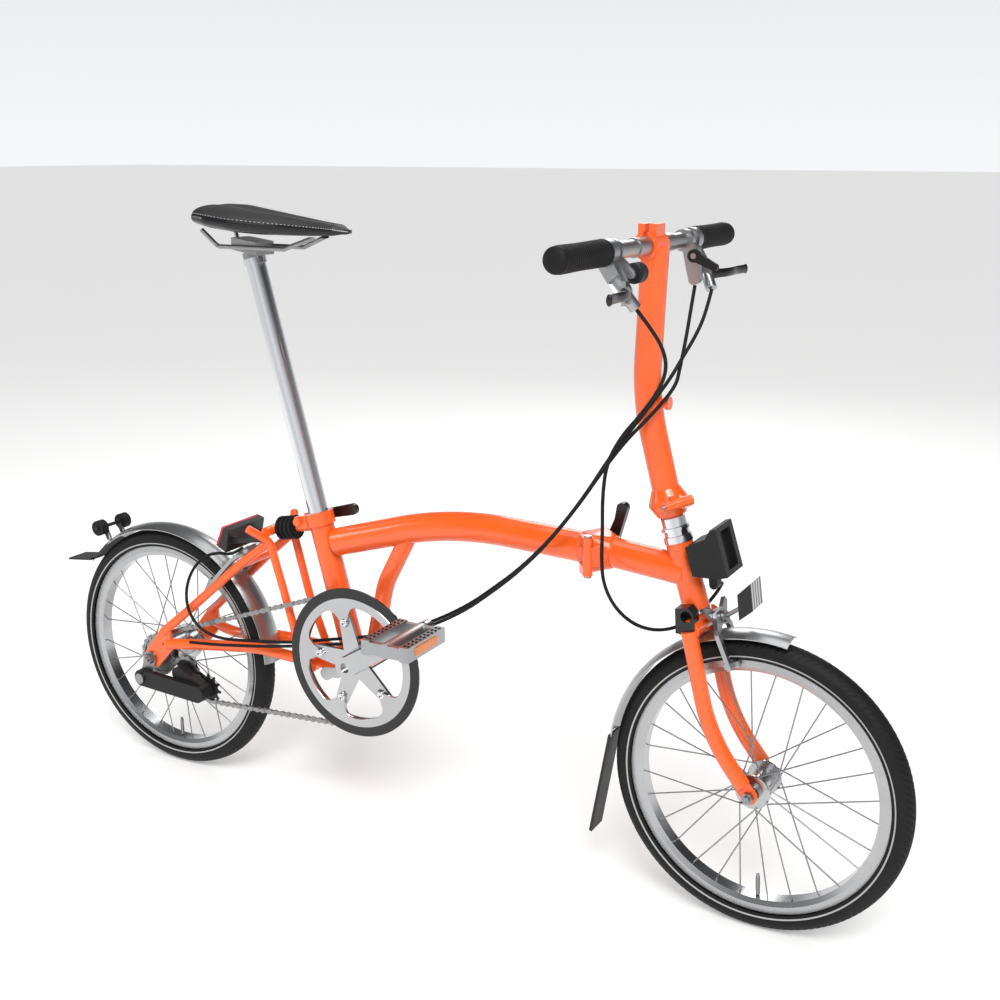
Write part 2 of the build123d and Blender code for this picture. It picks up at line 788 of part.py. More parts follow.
lower_cut = [stem_room(-knuckle_part - gap, knuckle_part + gap)]
stem_lower = joined(
    stem_casting(stem_base, stem_base + 6, 20, 23),
    stem_casting(stem_base + 6, stem_split - face_gap, 23, stem_flange),
    stem_knuckle(-knuckle_half, -knuckle_part - gap, -1),
    stem_knuckle(knuckle_part + gap, knuckle_half, -1),
    cut=lower_cut + [steerer],
)
save("stem_hinge_lower", stem_lower)
split_frame = stem_frame(stem_split)
stem_pin = rod(
    split_frame.from_local_coords((-knuckle_half - 2, pin_offset, 0)),
    split_frame.from_local_coords((knuckle_half + 2, pin_offset, 0)),
    hinge_pin_radius,
)

# ---- stem ----------------------------------------------------------------------------
stem_bottom = stem_split + 16
bottom_x, bottom_z = head_axis(stem_bottom)
stem_route = [(bottom_x, 0, bottom_z), (354, 0, 724), (bar_x + 6, 0, bar_z)]
clamp_radius = 18
clamp_half = 20
bar_room = cross_bar(bar_x, bar_z, -60, 60, bar_radius + 1.6)
stem_body = joined(
    bent_tube(stem_route, 340, stem_radius),
    stem_casting(stem_split + face_gap, stem_split + 6, stem_flange, 26),
    stem_casting(stem_split + 6, stem_bottom + 4, 26, stem_radius + 1),
    stem_knuckle(-knuckle_part, knuckle_part, 1),
    cross_bar(bar_x, bar_z, -clamp_half, clamp_half, clamp_radius),
    plate([(bar_x - 13, bar_z + 10), (bar_x + 13, bar_z + 10), (bar_x + 13, bar_z + 28),
           (bar_x - 13, bar_z + 28)], -clamp_half + 6, clamp_half - 6),
    cut=[
        stem_room(-knuckle_half - 5, -knuckle_part),
        stem_room(knuckle_part, knuckle_half + 5),
        bar_room,
        plate([(bar_x - 3, bar_z), (bar_x + 3, bar_z), (bar_x + 3, bar_z + 40),
               (bar_x - 3, bar_z + 40)], -30, 30),
    ],
)
nipple_z = 720
nipple_x = bar_x - 1
nipple = joined(
    rod((nipple_x + 10, 0, nipple_z), (nipple_x + 28, 0, nipple_z), 6.5),
    rod((nipple_x + 28, 0, nipple_z), (nipple_x + 33, 0, nipple_z), 9),
    cut=[stem_body],
)
save("stem", stem_body, nipple)
clamp_out = stem_flange + gap


def on_stem_frame(outward, up=0, along=0):
    """A point beside the stem hinge, measured away from the hinge pin's side."""
    return split_frame.from_local_coords((along, outward, up))


save("stem_hinge_clamp", joined(
    rod(on_stem_frame(clamp_out), on_stem_frame(clamp_out + 7), 12),
    rod(on_stem_frame(clamp_out + 7), on_stem_frame(clamp_out + 20), bolt_radius),
), stem_pin)
knob_start = clamp_out + 7 + gap
knob_bore = rod(on_stem_frame(knob_start - 1), on_stem_frame(knob_start + 30),
                bolt_radius + run_clearance)
save("stem_hinge_lever", joined(
    rod(on_stem_frame(knob_start), on_stem_frame(knob_start + 12), 10),
    rod(on_stem_frame(knob_start + 6), on_stem_frame(knob_start + 9, -34, 6), 5),
    rod(on_stem_frame(knob_start + 9, -34, 6), on_stem_frame(knob_start + 10, -46, 8), 6.5),
    cut=[knob_bore],
))

# ---- handlebar -------------------------------------------------------------------------
bar_half = bar_length / 2
grip_inner = bar_half - grip_length
save("handlebar", joined(
    cross_bar(bar_x, bar_z, -bar_half + 4, bar_half - 4, bar_radius, bar_radius - tube_wall),
    cross_bar(bar_x, bar_z, -58, 58, bar_radius + 1.6, bar_radius - 0.5),
))
with BuildPart() as grip:
    with BuildSketch(side_plane(grip_inner)):
        with Locations((bar_x, bar_z)):
            Circle(grip_radius)
    extrude(amount=-grip_length)
    fillet(grip.edges().group_by(Axis.Y)[-1], 8)
    add(cross_bar(bar_x, bar_z, grip_inner - 1, bar_half - 4, bar_radius), mode=Mode.SUBTRACT)
save("handlebar_grips", *both_sides(grip.part))

bracket_y = grip_inner - 10  # middle of the brake bracket's band
lever_pivot_x = bar_x + 24
lever_pivot_z = bar_z - 46
band_half = 8
bracket = joined(
    cross_bar(bar_x, bar_z, bracket_y - band_half, bracket_y + band_half, bar_radius + 5),
    link_plate((bar_x + 4, bar_z - 15), (lever_pivot_x, lever_pivot_z), 10, 9,
               bracket_y - band_half, bracket_y + band_half),
    rod((lever_pivot_x, bracket_y, lever_pivot_z),
        (lever_pivot_x + 12, bracket_y - 10, lever_pivot_z - 20), 8),
    cut=[
        cross_bar(bar_x, bar_z, 0, bar_half, bar_radius),
        rod((lever_pivot_x - 12, bracket_y + 13, lever_pivot_z + 14),
            (lever_pivot_x + 14, bracket_y + 13, lever_pivot_z - 16), 12),
    ],
)
lever_room = rod((lever_pivot_x + 4, bracket_y + 8, lever_pivot_z - 8 - gap),
                 (lever_pivot_x + 4, bracket_y + 8, lever_pivot_z + 6 + gap), 10)
bracket = joined(bracket, cut=[lever_room])
pivot_pin = rod((lever_pivot_x + 4, bracket_y + 8, lever_pivot_z - 16),
                (lever_pivot_x + 4, bracket_y + 8, lever_pivot_z + 14), 2.5)
bracket_piece = joined(bracket, pivot_pin)
lever_low = lever_pivot_z - 8
lever_high = lever_pivot_z + 6


def lever_blade(side):
    """A brake lever: a boss on its pivot pin, and a blade that reaches out along the grip."""
    pivot = (lever_pivot_x + 4, side * (bracket_y + 8))
    with BuildPart() as blade_part:
        with BuildSketch(Plane.XY.offset(lever_low)):
            with Locations(pivot):
                Circle(6)
            with Locations((pivot[0] + 16, side * (bracket_y + 30))):
                Circle(5)
            make_hull()
        extrude(amount=lever_high - lever_low)
        with BuildSketch(Plane.XY.offset(lever_low)):
            with Locations((pivot[0] + 16, side * (bracket_y + 30))):
                Circle(5)
            with Locations((pivot[0] + 20, side * (bracket_y + 88))):
                Circle(6)
            make_hull()
        extrude(amount=lever_high - lever_low)
        with Locations((pivot[0], pivot[1], lever_pivot_z)):
            Cylinder(2.5 + run_clearance, 60, mode=Mode.SUBTRACT)
    return blade_part.part


save("left_brake_lever", lever_blade(1))
save("right_brake_lever", lever_blade(-1))

ring_y = 106
save("bell", joined(
    cross_bar(bar_x + 26, bar_z - 26, -ring_y - 9, -ring_y + 11, 13),
    cut=[cross_bar(bar_x + 26, bar_z - 26, -ring_y - 10, -ring_y - 2, 4 + run_clearance)],
))
bell_mount = joined(
    cross_bar(bar_x, bar_z, -ring_y - 16, -ring_y - 10, bar_radius + 4, bar_radius),
    link_plate((bar_x + 10, bar_z - 10), (bar_x + 26, bar_z - 26), 5, 6, -ring_y - 16,
               -ring_y - 10),
    cross_bar(bar_x + 26, bar_z - 26, -ring_y - 12, -ring_y - 3, 4),
    cut=[cross_bar(bar_x, bar_z, -ring_y - 20, -ring_y - 5, bar_radius)],
)
shifter_y = 112
shift_pivot = (bar_x + 20, bar_z - 20)
shifter_body = joined(
    cross_bar(bar_x, bar_z, shifter_y - 6, shifter_y + 6, bar_radius + 4, bar_radius),
    link_plate((bar_x + 12, bar_z - 14), (bar_x + 18, bar_z - 52), 11, 8,
               shifter_y - 6, shifter_y + 6),
    cross_bar(*shift_pivot, shifter_y - 15, shifter_y - 6, 4),
    cut=[cross_bar(bar_x, bar_z, shifter_y - 20, shifter_y + 20, bar_radius)],
)
save("lever_brackets", *both_sides(bracket_piece), bell_mount, shifter_body)
save("gear_lever", joined(
    cross_bar(*shift_pivot, shifter_y - 14, shifter_y - 7, 9),
    link_plate(shift_pivot, (shift_pivot[0] + 30, shift_pivot[1] - 14), 7, 5,
               shifter_y - 14, shifter_y - 8),
    cut=[cross_bar(*shift_pivot, shifter_y - 20, shifter_y, 4 + run_clearance)],
))

# ---- seat post and saddle ---------------------------------------------------------------
post_bottom = -post_inserted
post_top = post_bottom + post_length


def post_rod(low, high, radius, bore=0):
    """A round piece on the seat post's axis."""
    start, end = seat_point(low), seat_point(high)
    return rod((start[0], 0, start[1]), (end[0], 0, end[1]), radius, bore)


save("seat_post",
     post_rod(post_bottom, post_top, post_radius, post_radius - tube_wall),
     post_rod(post_top - 8, post_top + 2, post_radius + 2.5, post_radius))
head_of_post = seat_point(post_top + 14)
saddle_clamp = joined(
    post_rod(post_top + 2, post_top + 12, post_radius + 1),
    plate([(head_of_post[0] - 24, head_of_post[1] + 2), (head_of_post[0] + 24, head_of_post[1] - 6),
           (head_of_post[0] + 24, head_of_post[1] + 14),
           (head_of_post[0] - 24, head_of_post[1] + 20)], -21, 21),
)
rail_z = head_of_post[1] + 6
rail_y = 24.5
rail = bent_tube(
    [(-372, 38, rail_z + 26), (-352, rail_y, rail_z), (-225, rail_y, rail_z),
     (-165, 12, rail_z + 22)], 8, 3.5,
)
saddle_sections = [
    (-393, 22, 8, 950), (-378, 55, 14, 949), (-345, 72, 18, 945), (-290, 62, 20, 938),
    (-235, 36, 18, 932), (-180, 22, 15, 928), (-135, 19, 12, 926), (-120, 9, 6, 925),
]
with BuildPart() as cover:
    for section_x, half_width, half_height, middle_z in saddle_sections:
        with BuildSketch(Plane.YZ.offset(section_x)):
            with Locations((0, middle_z)):
                Ellipse(half_width, half_height)
    loft()
save("saddle", cover.part)
save("saddle_rails", saddle_clamp, *[joined(side, cut=[cover.part]) for side in both_sides(rail)])

# ---- rear frame --------------------------------------------------------------------------
rear_inner = rear_over_locknuts / 2
rear_outer = rear_inner + dropout_thickness
stay_y = rear_inner + 3
lug_inner = lug_half + gap
inboard_y = 31.5  # the chainstays pass inside the chainring when the rear frame folds
dropout = plate(
    [(rear_axle_x - 12, axle_z - 14), (rear_axle_x + 14, axle_z - 14), (-466, 232), (-470, 268),
     (-488, 266), (rear_axle_x - 14, axle_z + 8)],
    rear_inner, rear_outer,
    holes=[(-485.5, 239, 2.6), (rear_axle_x, axle_z, rear_axle_radius + axle_slot)],
)
chainstay = bent_tube(
    [(-478, stay_y, 240), (-440, 43, 240.5), (-398, inboard_y, 243), (-307, inboard_y, 256),
     (-203, inboard_y, 254)],
    [100, 100, 300], chainstay_radius,
)
rear_lug = cross_bar(pivot_x, pivot_z, lug_inner, rear_lug_outer, pivot_radius)
left_chainstay = joined(
    dropout, chainstay, rear_lug,
    cut=[
        cross_bar(pivot_x, pivot_z, 0, 60, pivot_pin_radius + run_clearance),
        cross_bar(pivot_x, pivot_z, 0, lug_inner, 30),
        cross_bar(pivot_x, pivot_z, rear_lug_outer, 60, 30),
    ],
)
save("chainstays", *both_sides(left_chainstay))
upright = bent_tube(
    [(-292, 58, 466), (-272, 30, 440), (-243, 28, 340), (-216, 32, 262)], [22, 300],
    upright_radius,
)
left_upright = joined(upright, cut=[left_chainstay])
cross_x, cross_z = -279, 455
crossbar = cross_bar(cross_x, cross_z, -32, 32, 8)
uprights = joined(left_upright, mirror(left_upright, about=Plane.XZ), crossbar)
seatstay = bent_tube(
    [(-484, stay_y, 260), (-434, 50, 303.5), (-330, 38.5, 395), (-272, 30, 441)],
    [300, 400], seatstay_radius,
)
left_seatstay = joined(seatstay, cut=[left_chainstay, left_upright, crossbar])
bridge_x, bridge_z = -330, 395
bridge_radius = 6.5
stay_bridge = cross_bar(bridge_x, bridge_z, -38, 38, bridge_radius)
rear_caliper_angle = degrees(atan2(bridge_z - axle_z, bridge_x - rear_axle_x))
rear_reach = hypot(bridge_z - axle_z, bridge_x - rear_axle_x)
rear_bolt_run = 18
rear_bolt = rod(
    tangent_point(rear_axle_x, rear_caliper_angle, rear_reach, 0),
    tangent_point(rear_axle_x, rear_caliper_angle, rear_reach, bridge_radius + rear_bolt_run),
    caliper_bolt_radius,
)
seatstays = joined(left_seatstay, mirror(left_seatstay, about=Plane.XZ), stay_bridge, rear_bolt)
save("rear_stays", seatstays, uprights)
rear_along = bridge_radius + 2
save("rear_caliper_left_arm",
     *caliper_arm(rear_axle_x, rear_caliper_angle, rear_reach, rear_along + arm_thickness, 1))
save("rear_caliper_right_arm",
     *caliper_arm(rear_axle_x, rear_caliper_angle, rear_reach,
                  rear_along + 2 * arm_thickness + gap, -1))

block_start = (cross_x + 9, 0, cross_z + 1)
block_end = (stop_x - gap, 0, stop_z)
rib_count = 4
block_line = Vector(*block_end) - Vector(*block_start)
ribs = []
for index in range(rib_count):
    low = Vector(*block_start) + block_line * (index / rib_count)
    high = low + block_line * (0.7 / rib_count)
    ribs.append(rod(low, high, 19))
save("suspension_block", joined(rod(block_start, block_end, 15), *ribs, cut=[crossbar]))
reflector_box = plate(
    [(-372, 424), (-352, 414), (-344, 452), (-358, 456)], -44, 44,
)
save("rear_reflector",
     reflector_box,
     joined(
         link_plate((-350, 430), (-276, 444), 4, 4, -28, -32),
         link_plate((-350, 430), (-276, 444), 4, 4, 28, 32),
         cut=[reflector_box, seatstays, uprights],
     ))


# ---- mudguards -----------------------------------------------------------------------------
def mudguard(axle_x, start_angle, end_angle):
    """A curved sheet over part of a wheel."""
    half = guard_width / 2
    drop = 7
    with BuildPart() as guard:
        with BuildSketch(Plane.YZ.offset(axle_x)):
            with BuildLine():
                ThreePointArc((-half, axle_z + guard_radius - drop), (0, axle_z + guard_radius),
                              (half, axle_z + guard_radius - drop))
                Line((half, axle_z + guard_radius - drop),
                     (half, axle_z + guard_radius - drop - guard_sheet))
                ThreePointArc((half, axle_z + guard_radius - drop - guard_sheet),
                              (0, axle_z + guard_radius - guard_sheet),
                              (-half, axle_z + guard_radius - drop - guard_sheet))
                Line((-half, axle_z + guard_radius - drop - guard_sheet),
                     (-half, axle_z + guard_radius - drop))
            make_face()
        revolve(axis=Axis((axle_x, 0, axle_z), (0, -1, 0)), revolution_arc=end_angle - start_angle)
    return guard.part.rotate(Axis((axle_x, 0, axle_z), (0, -1, 0)), start_angle - 90)


front_guard = mudguard(front_axle_x, 80, 171.7)
front_end = wheel_point(front_axle_x, guard_radius - 4, 171.7)
front_flap = plate(
    [(front_end[0] - 3, front_end[2] - 1), (front_end[0] - 31, 84), (front_end[0] - 27, 82),
     (front_end[0] + 1, front_end[2] - 1)], -18, 18)
save("front_mudguard", joined(front_guard, cut=[crown]), joined(front_flap, cut=[front_guard]))
rear_guard = mudguard(rear_axle_x, 4, 141)
rear_tip = wheel_point(rear_axle_x, guard_radius - 1, 141)
rear_flap = plate(
    [(rear_tip[0] - 1, rear_tip[2]), (rear_tip[0] - 57, rear_tip[2] - 8),
     (rear_tip[0] - 57, rear_tip[2] - 11), (rear_tip[0] - 1, rear_tip[2] - 4)], -20, 20)

roller_x, roller_z = -649, 409
stay_foot = wheel_point(rear_axle_x, guard_radius + 1.5, 125)
roller_stay = joined(
    link_plate((roller_x, roller_z), (stay_foot[0], stay_foot[2]), 5, 5, -15, -18),
    link_plate((roller_x, roller_z), (stay_foot[0], stay_foot[2]), 5, 5, 15, 18),
    cross_bar(roller_x, roller_z, -36, 36, 3),
    cut=[rear_guard],
)
save("rear_mudguard", rear_guard, joined(rear_flap, cut=[rear_guard]), roller_stay)
roller = cross_bar(roller_x, roller_z, 19, 33, 13, 3 + run_clearance)
save("mudguard_rollers", *both_sides(roller))


# ---- crankset ------------------------------------------------------------------------------
tooth_height = 2.6
seat_clearance = 0.2
flank_offset = 3.6
flank_radius = 5.7


def toothed_disc(x, z, teeth, y_from, y_to, phase):
    """A chainwheel: a disc with a round seat for a roller at every pitch."""
    radius = pitch_radius(teeth)
    with BuildPart() as wheel:
        with BuildSketch(side_plane(y_from)):
            with Locations((x, z)):
                Circle(radius + tooth_height)
                with PolarLocations(radius, teeth, start_angle=phase):
                    Circle(chain_roller_radius + seat_clearance, mode=Mode.SUBTRACT)
                with PolarLocations(radius + flank_offset, teeth, start_angle=phase):
                    Circle(flank_radius, mode=Mode.SUBTRACT)
        extrude(amount=y_from - y_to)
    return wheel.part


ring_radius = pitch_radius(chainring_teeth)
sprocket_radius = pitch_radius(sprocket_teeth)
idler_radius = pitch_radius(idler_teeth)
arm_pivot = (-526.5, 175)
lower_idler_rest = (-404, 174)
upper_idler_rest = (-452, 196)


def swung(point, angle):
    """A side-view point turned about the tensioner arm's pivot, in degrees."""
    turn = radians(angle)
    x, z = point[0] - arm_pivot[0], point[1] - arm_pivot[1]
    return (arm_pivot[0] + x * cos(turn) - z * sin(turn),
            arm_pivot[1] + x * sin(turn) + z * cos(turn))


def chain_loop(arm_angle):
    """The chain's wheels in order, and the direction in degrees of the run after each."""
    wheels = [
        ((crank_x, crank_z), ring_radius, chainring_teeth, 1),
        ((rear_axle_x, axle_z), sprocket_radius, sprocket_teeth, 1),
        (swung(upper_idler_rest, arm_angle), idler_radius, idler_teeth, -1),
        (swung(lower_idler_rest, arm_angle), idler_radius, idler_teeth, 1),
    ]
    runs = []
    for index, (centre, radius, _, way) in enumerate(wheels):
        following, next_radius, _, next_way = wheels[(index + 1) % len(wheels)]
        step_x, step_z = following[0] - centre[0], following[1] - centre[1]
        distance = hypot(step_x, step_z)
        lean = asin((way * radius - next_way * next_radius) / distance)
        straight = sqrt(distance**2 - (way * radius - next_way * next_radius) ** 2)
        runs.append((degrees(atan2(step_z, step_x) + lean), straight))
    return wheels, runs


def wrap_angle(way, coming, leaving):
    """Degrees of a wheel that the chain wraps, given the runs' directions."""
    return (way * (leaving - coming)) % 360


def chain_pitches(arm_angle):
    """Length of the whole chain in pitches, with a whole tooth for each pitch of wrap."""
    wheels, runs = chain_loop(arm_angle)
    total = 0
    for index, (_, _, teeth, way) in enumerate(wheels):
        total += wrap_angle(way, runs[index - 1][0], runs[index][0]) * teeth / 360
        total += runs[index][1] / chain_pitch
    return total


# the tensioner arm stands at the angle that makes the chain a whole number of pitches
link_count = round(chain_pitches(0))
low_angle, high_angle = -14, 14
for _ in range(50):
    arm_angle = (low_angle + high_angle) / 2
    if chain_pitches(arm_angle) > link_count:
        low_angle = arm_angle
    else:
        high_angle = arm_angle
chain_wheels, chain_runs = chain_loop(arm_angle)


def chain_points():
    """Roller centres along the chain, and for each wheel the angle of its first roller."""
    points = []
    phases = []
    travelled = 0
    for index, (centre, radius, teeth, way) in enumerate(chain_wheels):
        direction, straight = chain_runs[index]
        if index:
            coming = chain_runs[index - 1][0]
            wrap = wrap_angle(way, coming, direction)
            first = ceil(travelled - 1e-9)
            start = coming - 90 * way
            phases.append(start + way * (first - travelled) * 360 / teeth)
            for count in range(first, ceil(travelled + wrap * teeth / 360 - 1e-9)):
                turn = radians(start + way * (count - travelled) * 360 / teeth)
                points.append((centre[0] + radius * cos(turn), centre[1] + radius * sin(turn)))
            travelled += wrap * teeth / 360
        else:
            phases.append(direction - 90)
        turn = radians(direction - 90 * way)
        from_x, from_z = centre[0] + radius * cos(turn), centre[1] + radius * sin(turn)
        along = radians(direction)
        last = travelled + straight / chain_pitch
        for count in range(ceil(travelled - 1e-9), ceil(last - 1e-9)):
            reach = (count - travelled) * chain_pitch
            points.append((from_x + reach * cos(along), from_z + reach * sin(along)))
        travelled = last
    centre, radius, teeth, _ = chain_wheels[0]
    while len(points) < link_count:
        turn = radians(chain_runs[-1][0] - 90 + (len(points) - travelled) * 360 / teeth)
        points.append((centre[0] + radius * cos(turn), centre[1] + radius * sin(turn)))
    return points, phases


rollers, wheel_phases = chain_points()
tooth_half = chain_inner_width / 2 - gap
ring_inner = 92
chainring_disc = toothed_disc(crank_x, crank_z, chainring_teeth, -chain_line - tooth_half,
                              -chain_line + tooth_half, wheel_phases[0])
bolt_circle = 65
spider_inner = -chain_line - tooth_half
spider_outer = spider_inner - 5
spider_arms = []
spider_rings = []
for index in range(5):
    turn = radians(crank_angle + 72 * index)
    tip = (crank_x + (ring_inner + 4) * cos(turn), crank_z + (ring_inner + 4) * sin(turn))
    spider_arms.append(link_plate((crank_x, crank_z), tip, 17, 8, spider_outer, spider_inner))
chain_guard = cross_bar(crank_x, crank_z, spider_outer - 3, spider_outer, ring_radius + 9.5,
                        ring_inner)
save("chainring",
     joined(chainring_disc, cut=[cross_bar(crank_x, crank_z, -60, -20, ring_inner)]),
     chain_guard)
arm_out = 76
pedal_tip = (crank_x + crank_length * cos(radians(crank_angle)),
             crank_z + crank_length * sin(radians(crank_angle)))
left_tip = (2 * crank_x - pedal_tip[0], 2 * crank_z - pedal_tip[1])
arm_thick = 13
pedal_axle_radius = 5
right_arm = joined(
    *spider_arms,
    cross_bar(crank_x, crank_z, -arm_out, spider_outer, 17),
    link_plate((crank_x, crank_z), pedal_tip, 15, 11, -arm_out, -arm_out + arm_thick),
    cross_bar(crank_x, crank_z, -arm_out, -chain_line + 4, 13),
    cut=[cross_bar(crank_x, crank_z, -arm_out - 1, -arm_out + 6, 8),
         cross_bar(*pedal_tip, -arm_out - 1, -40, pedal_axle_radius)],
)
left_arm = joined(
    link_plate((crank_x, crank_z), left_tip, 15, 11, arm_out - arm_thick, arm_out),
    cross_bar(crank_x, crank_z, shell_width / 2 + 4 + gap, arm_out, 15),
    cut=[cross_bar(*left_tip, 40, arm_out + 1, pedal_axle_radius)],
)
spindle = cross_bar(crank_x, crank_z, -arm_out + 6, arm_out - 6, spindle_radius)

pedal_gap = 4


def pedal(x, z, side, start):
    """A pedal body: a cage of two side plates and cross pieces round a bored barrel."""
    first = side * start
    last = side * (start + pedal_length)
    half = pedal_width / 2
    outline = [(x - half, z - 9), (x + half, z - 9), (x + half, z + 9), (x - half, z + 9)]
    inner_plate = plate(outline, first, first + side * 8)
    outer_plate = plate(outline, last - side * 8, last)
    tread = 14
    front = plate([(x + half - tread, z - 11), (x + half, z - 11), (x + half, z + 11),
                   (x + half - tread, z + 11)], first, last)
    back = plate([(x - half, z - 11), (x - half + tread, z - 11), (x - half + tread, z + 11),
                  (x - half, z + 11)], first, last)
    barrel = cross_bar(x, z, first, last, 11)
    bore = cross_bar(x, z, first - side, last - side * 6, pedal_axle_radius + run_clearance)
    return joined(inner_plate, outer_plate, front, back, barrel, cut=[bore])


right_start = arm_out + pedal_gap
save("right_pedal", pedal(*pedal_tip, -1, right_start))
right_spindle = joined(
    cross_bar(*pedal_tip, -right_start - pedal_length + 8, -arm_out + arm_thick,
              pedal_axle_radius),
    cross_bar(*pedal_tip, -right_start + gap, -arm_out, 8),
)
fold_block = 22
left_start = arm_out + fold_block + pedal_gap
fold_pin_radius = 3
fold_y = arm_out + 13
left_pedal_bracket = joined(
    cross_bar(*left_tip, arm_out - arm_thick, arm_out + 1, pedal_axle_radius),
    plate([(left_tip[0] - 16, left_tip[1] - 10), (left_tip[0] + 16, left_tip[1] - 10),
           (left_tip[0] + 16, left_tip[1] - 5.2), (left_tip[0] - 16, left_tip[1] - 5.2)],
          arm_out + 0.2, arm_out + 17),
    plate([(left_tip[0] - 16, left_tip[1] - 10), (left_tip[0] + 16, left_tip[1] - 10),
           (left_tip[0] + 16, left_tip[1] + 10), (left_tip[0] - 16, left_tip[1] + 10)],
          arm_out + 0.2, arm_out + 4),
    plate([(left_tip[0] - 16, left_tip[1] + 5.2), (left_tip[0] + 16, left_tip[1] + 5.2),
           (left_tip[0] + 16, left_tip[1] + 10), (left_tip[0] - 16, left_tip[1] + 10)],
          arm_out + 0.2, arm_out + 17),
    rod((left_tip[0] - 10, fold_y, left_tip[1] - 10), (left_tip[0] - 10, fold_y, left_tip[1] + 10),
        fold_pin_radius),
)
save("crank_arms", joined(right_arm, cut=[spindle]), joined(left_arm, cut=[spindle]), spindle,
     right_spindle, left_pedal_bracket)
save("left_pedal_hinge", joined(
    plate([(left_tip[0] - 15, left_tip[1] - 4.9), (left_tip[0] + 15, left_tip[1] - 4.9),
           (left_tip[0] + 15, left_tip[1] + 4.9), (left_tip[0] - 15, left_tip[1] + 4.9)],
          arm_out + 8, arm_out + fold_block),
    cross_bar(*left_tip, arm_out + fold_block, left_start + pedal_length - 8, pedal_axle_radius),
    cross_bar(*left_tip, arm_out + fold_block, left_start - gap, 8),
    cut=[
        rod((left_tip[0] - 10, fold_y, left_tip[1] - 12),
            (left_tip[0] - 10, fold_y, left_tip[1] + 12), fold_pin_radius + run_clearance),
    ],
))
save("left_pedal", pedal(*left_tip, 1, left_start))


# ---- sprocket, tensioner and chain -----------------------------------------------------------
save("sprocket", joined(
    toothed_disc(rear_axle_x, axle_z, sprocket_teeth, -chain_line - tooth_half,
                 -chain_line + tooth_half, wheel_phases[1]),
    cross_bar(rear_axle_x, axle_z, -chain_line - sprocket_half, -chain_line + sprocket_half, 20),
    cut=[cross_bar(rear_axle_x, axle_z, -chain_line - 10, -chain_line + 10,
                   rear_axle_radius + run_clearance)],
))
upper_idler = chain_wheels[2][0]
lower_idler = chain_wheels[3][0]
idler_bolt_radius = 4
idler_half = 4
cage_outer = -50
arm_inner = -66
arm_outer = -76


def idler(centre, phase):
    """A toothed guide wheel with a bored hub."""
    return joined(
        toothed_disc(*centre, idler_teeth, -chain_line - tooth_half, -chain_line + tooth_half,
                     phase),
        cross_bar(*centre, -chain_line - idler_half, -chain_line + idler_half, 9),
        cut=[cross_bar(*centre, -60, -30, idler_bolt_radius + run_clearance)],
    )


save("upper_idler", idler(upper_idler, wheel_phases[2]))
save("lower_idler", idler(lower_idler, wheel_phases[3]))
arm_pin_radius = 5
bracket_plate = joined(
    link_plate((rear_axle_x, axle_z), arm_pivot, 12, 11, -rear_outer - tensioner_plate,
               -rear_outer),
    cross_bar(*arm_pivot, arm_outer - 2, -rear_outer, arm_pin_radius),
    cross_bar(*arm_pivot, arm_outer - 4, arm_outer - gap, 9),
    cut=[cross_bar(rear_axle_x, axle_z, -90, -50, rear_axle_radius)],
)
save("rear_axle", rear_axle, bracket_plate)
save("tensioner_arm", joined(
    link_plate(arm_pivot, lower_idler, 14, 14, arm_outer, arm_inner),
    link_plate(upper_idler, lower_idler, 12, 14, cage_outer - 17, cage_outer),
    link_plate(upper_idler, lower_idler, 8, 9, -38, -36),
    cross_bar(*upper_idler, -51, -37, idler_bolt_radius),
    cross_bar(*lower_idler, -51, -37, idler_bolt_radius),
    cut=[cross_bar(*arm_pivot, -90, -60, arm_pin_radius + run_clearance)],
))


def chain_face(y, offset):
    """Closed outline of the chain's route in the side view, moved outward by an offset."""
    with BuildSketch(side_plane(y)) as face:
        with BuildLine():
            for index, (centre, radius, _, way) in enumerate(chain_wheels):
                coming = chain_runs[index - 1][0] - 90 * way
                wrap = way * wrap_angle(way, chain_runs[index - 1][0], chain_runs[index][0])
                size = radius + way * offset
                CenterArc(centre, size, coming, wrap)
                leaving = radians(coming + wrap)
                following, next_radius, _, next_way = chain_wheels[(index + 1) % 4]
                arriving = radians(chain_runs[index][0] - 90 * next_way)
                next_size = next_radius + next_way * offset
                Line(
                    (centre[0] + size * cos(leaving), centre[1] + size * sin(leaving)),
                    (following[0] + next_size * cos(arriving),
                     following[1] + next_size * sin(arriving)),
                )
        make_face()
    return face.sketch


link_half_height = 4.2
link_plate_sheet = 1.5


def link_strip(y_from, y_to):
    """The link plates of one side of the chain, as one closed band."""
    with BuildPart() as band:
        extrude(chain_face(y_from, link_half_height), amount=y_from - y_to)
        extrude(chain_face(y_from, -link_half_height), amount=y_from - y_to, mode=Mode.SUBTRACT)
    return band.part


half_inner = chain_inner_width / 2
save("chain",
     link_strip(-chain_line + half_inner + link_plate_sheet, -chain_line + half_inner),
     link_strip(-chain_line - half_inner, -chain_line - half_inner - link_plate_sheet),
     *[cross_bar(x, z, -chain_line - half_inner, -chain_line + half_inner, chain_roller_radius)
       for x, z in rollers])

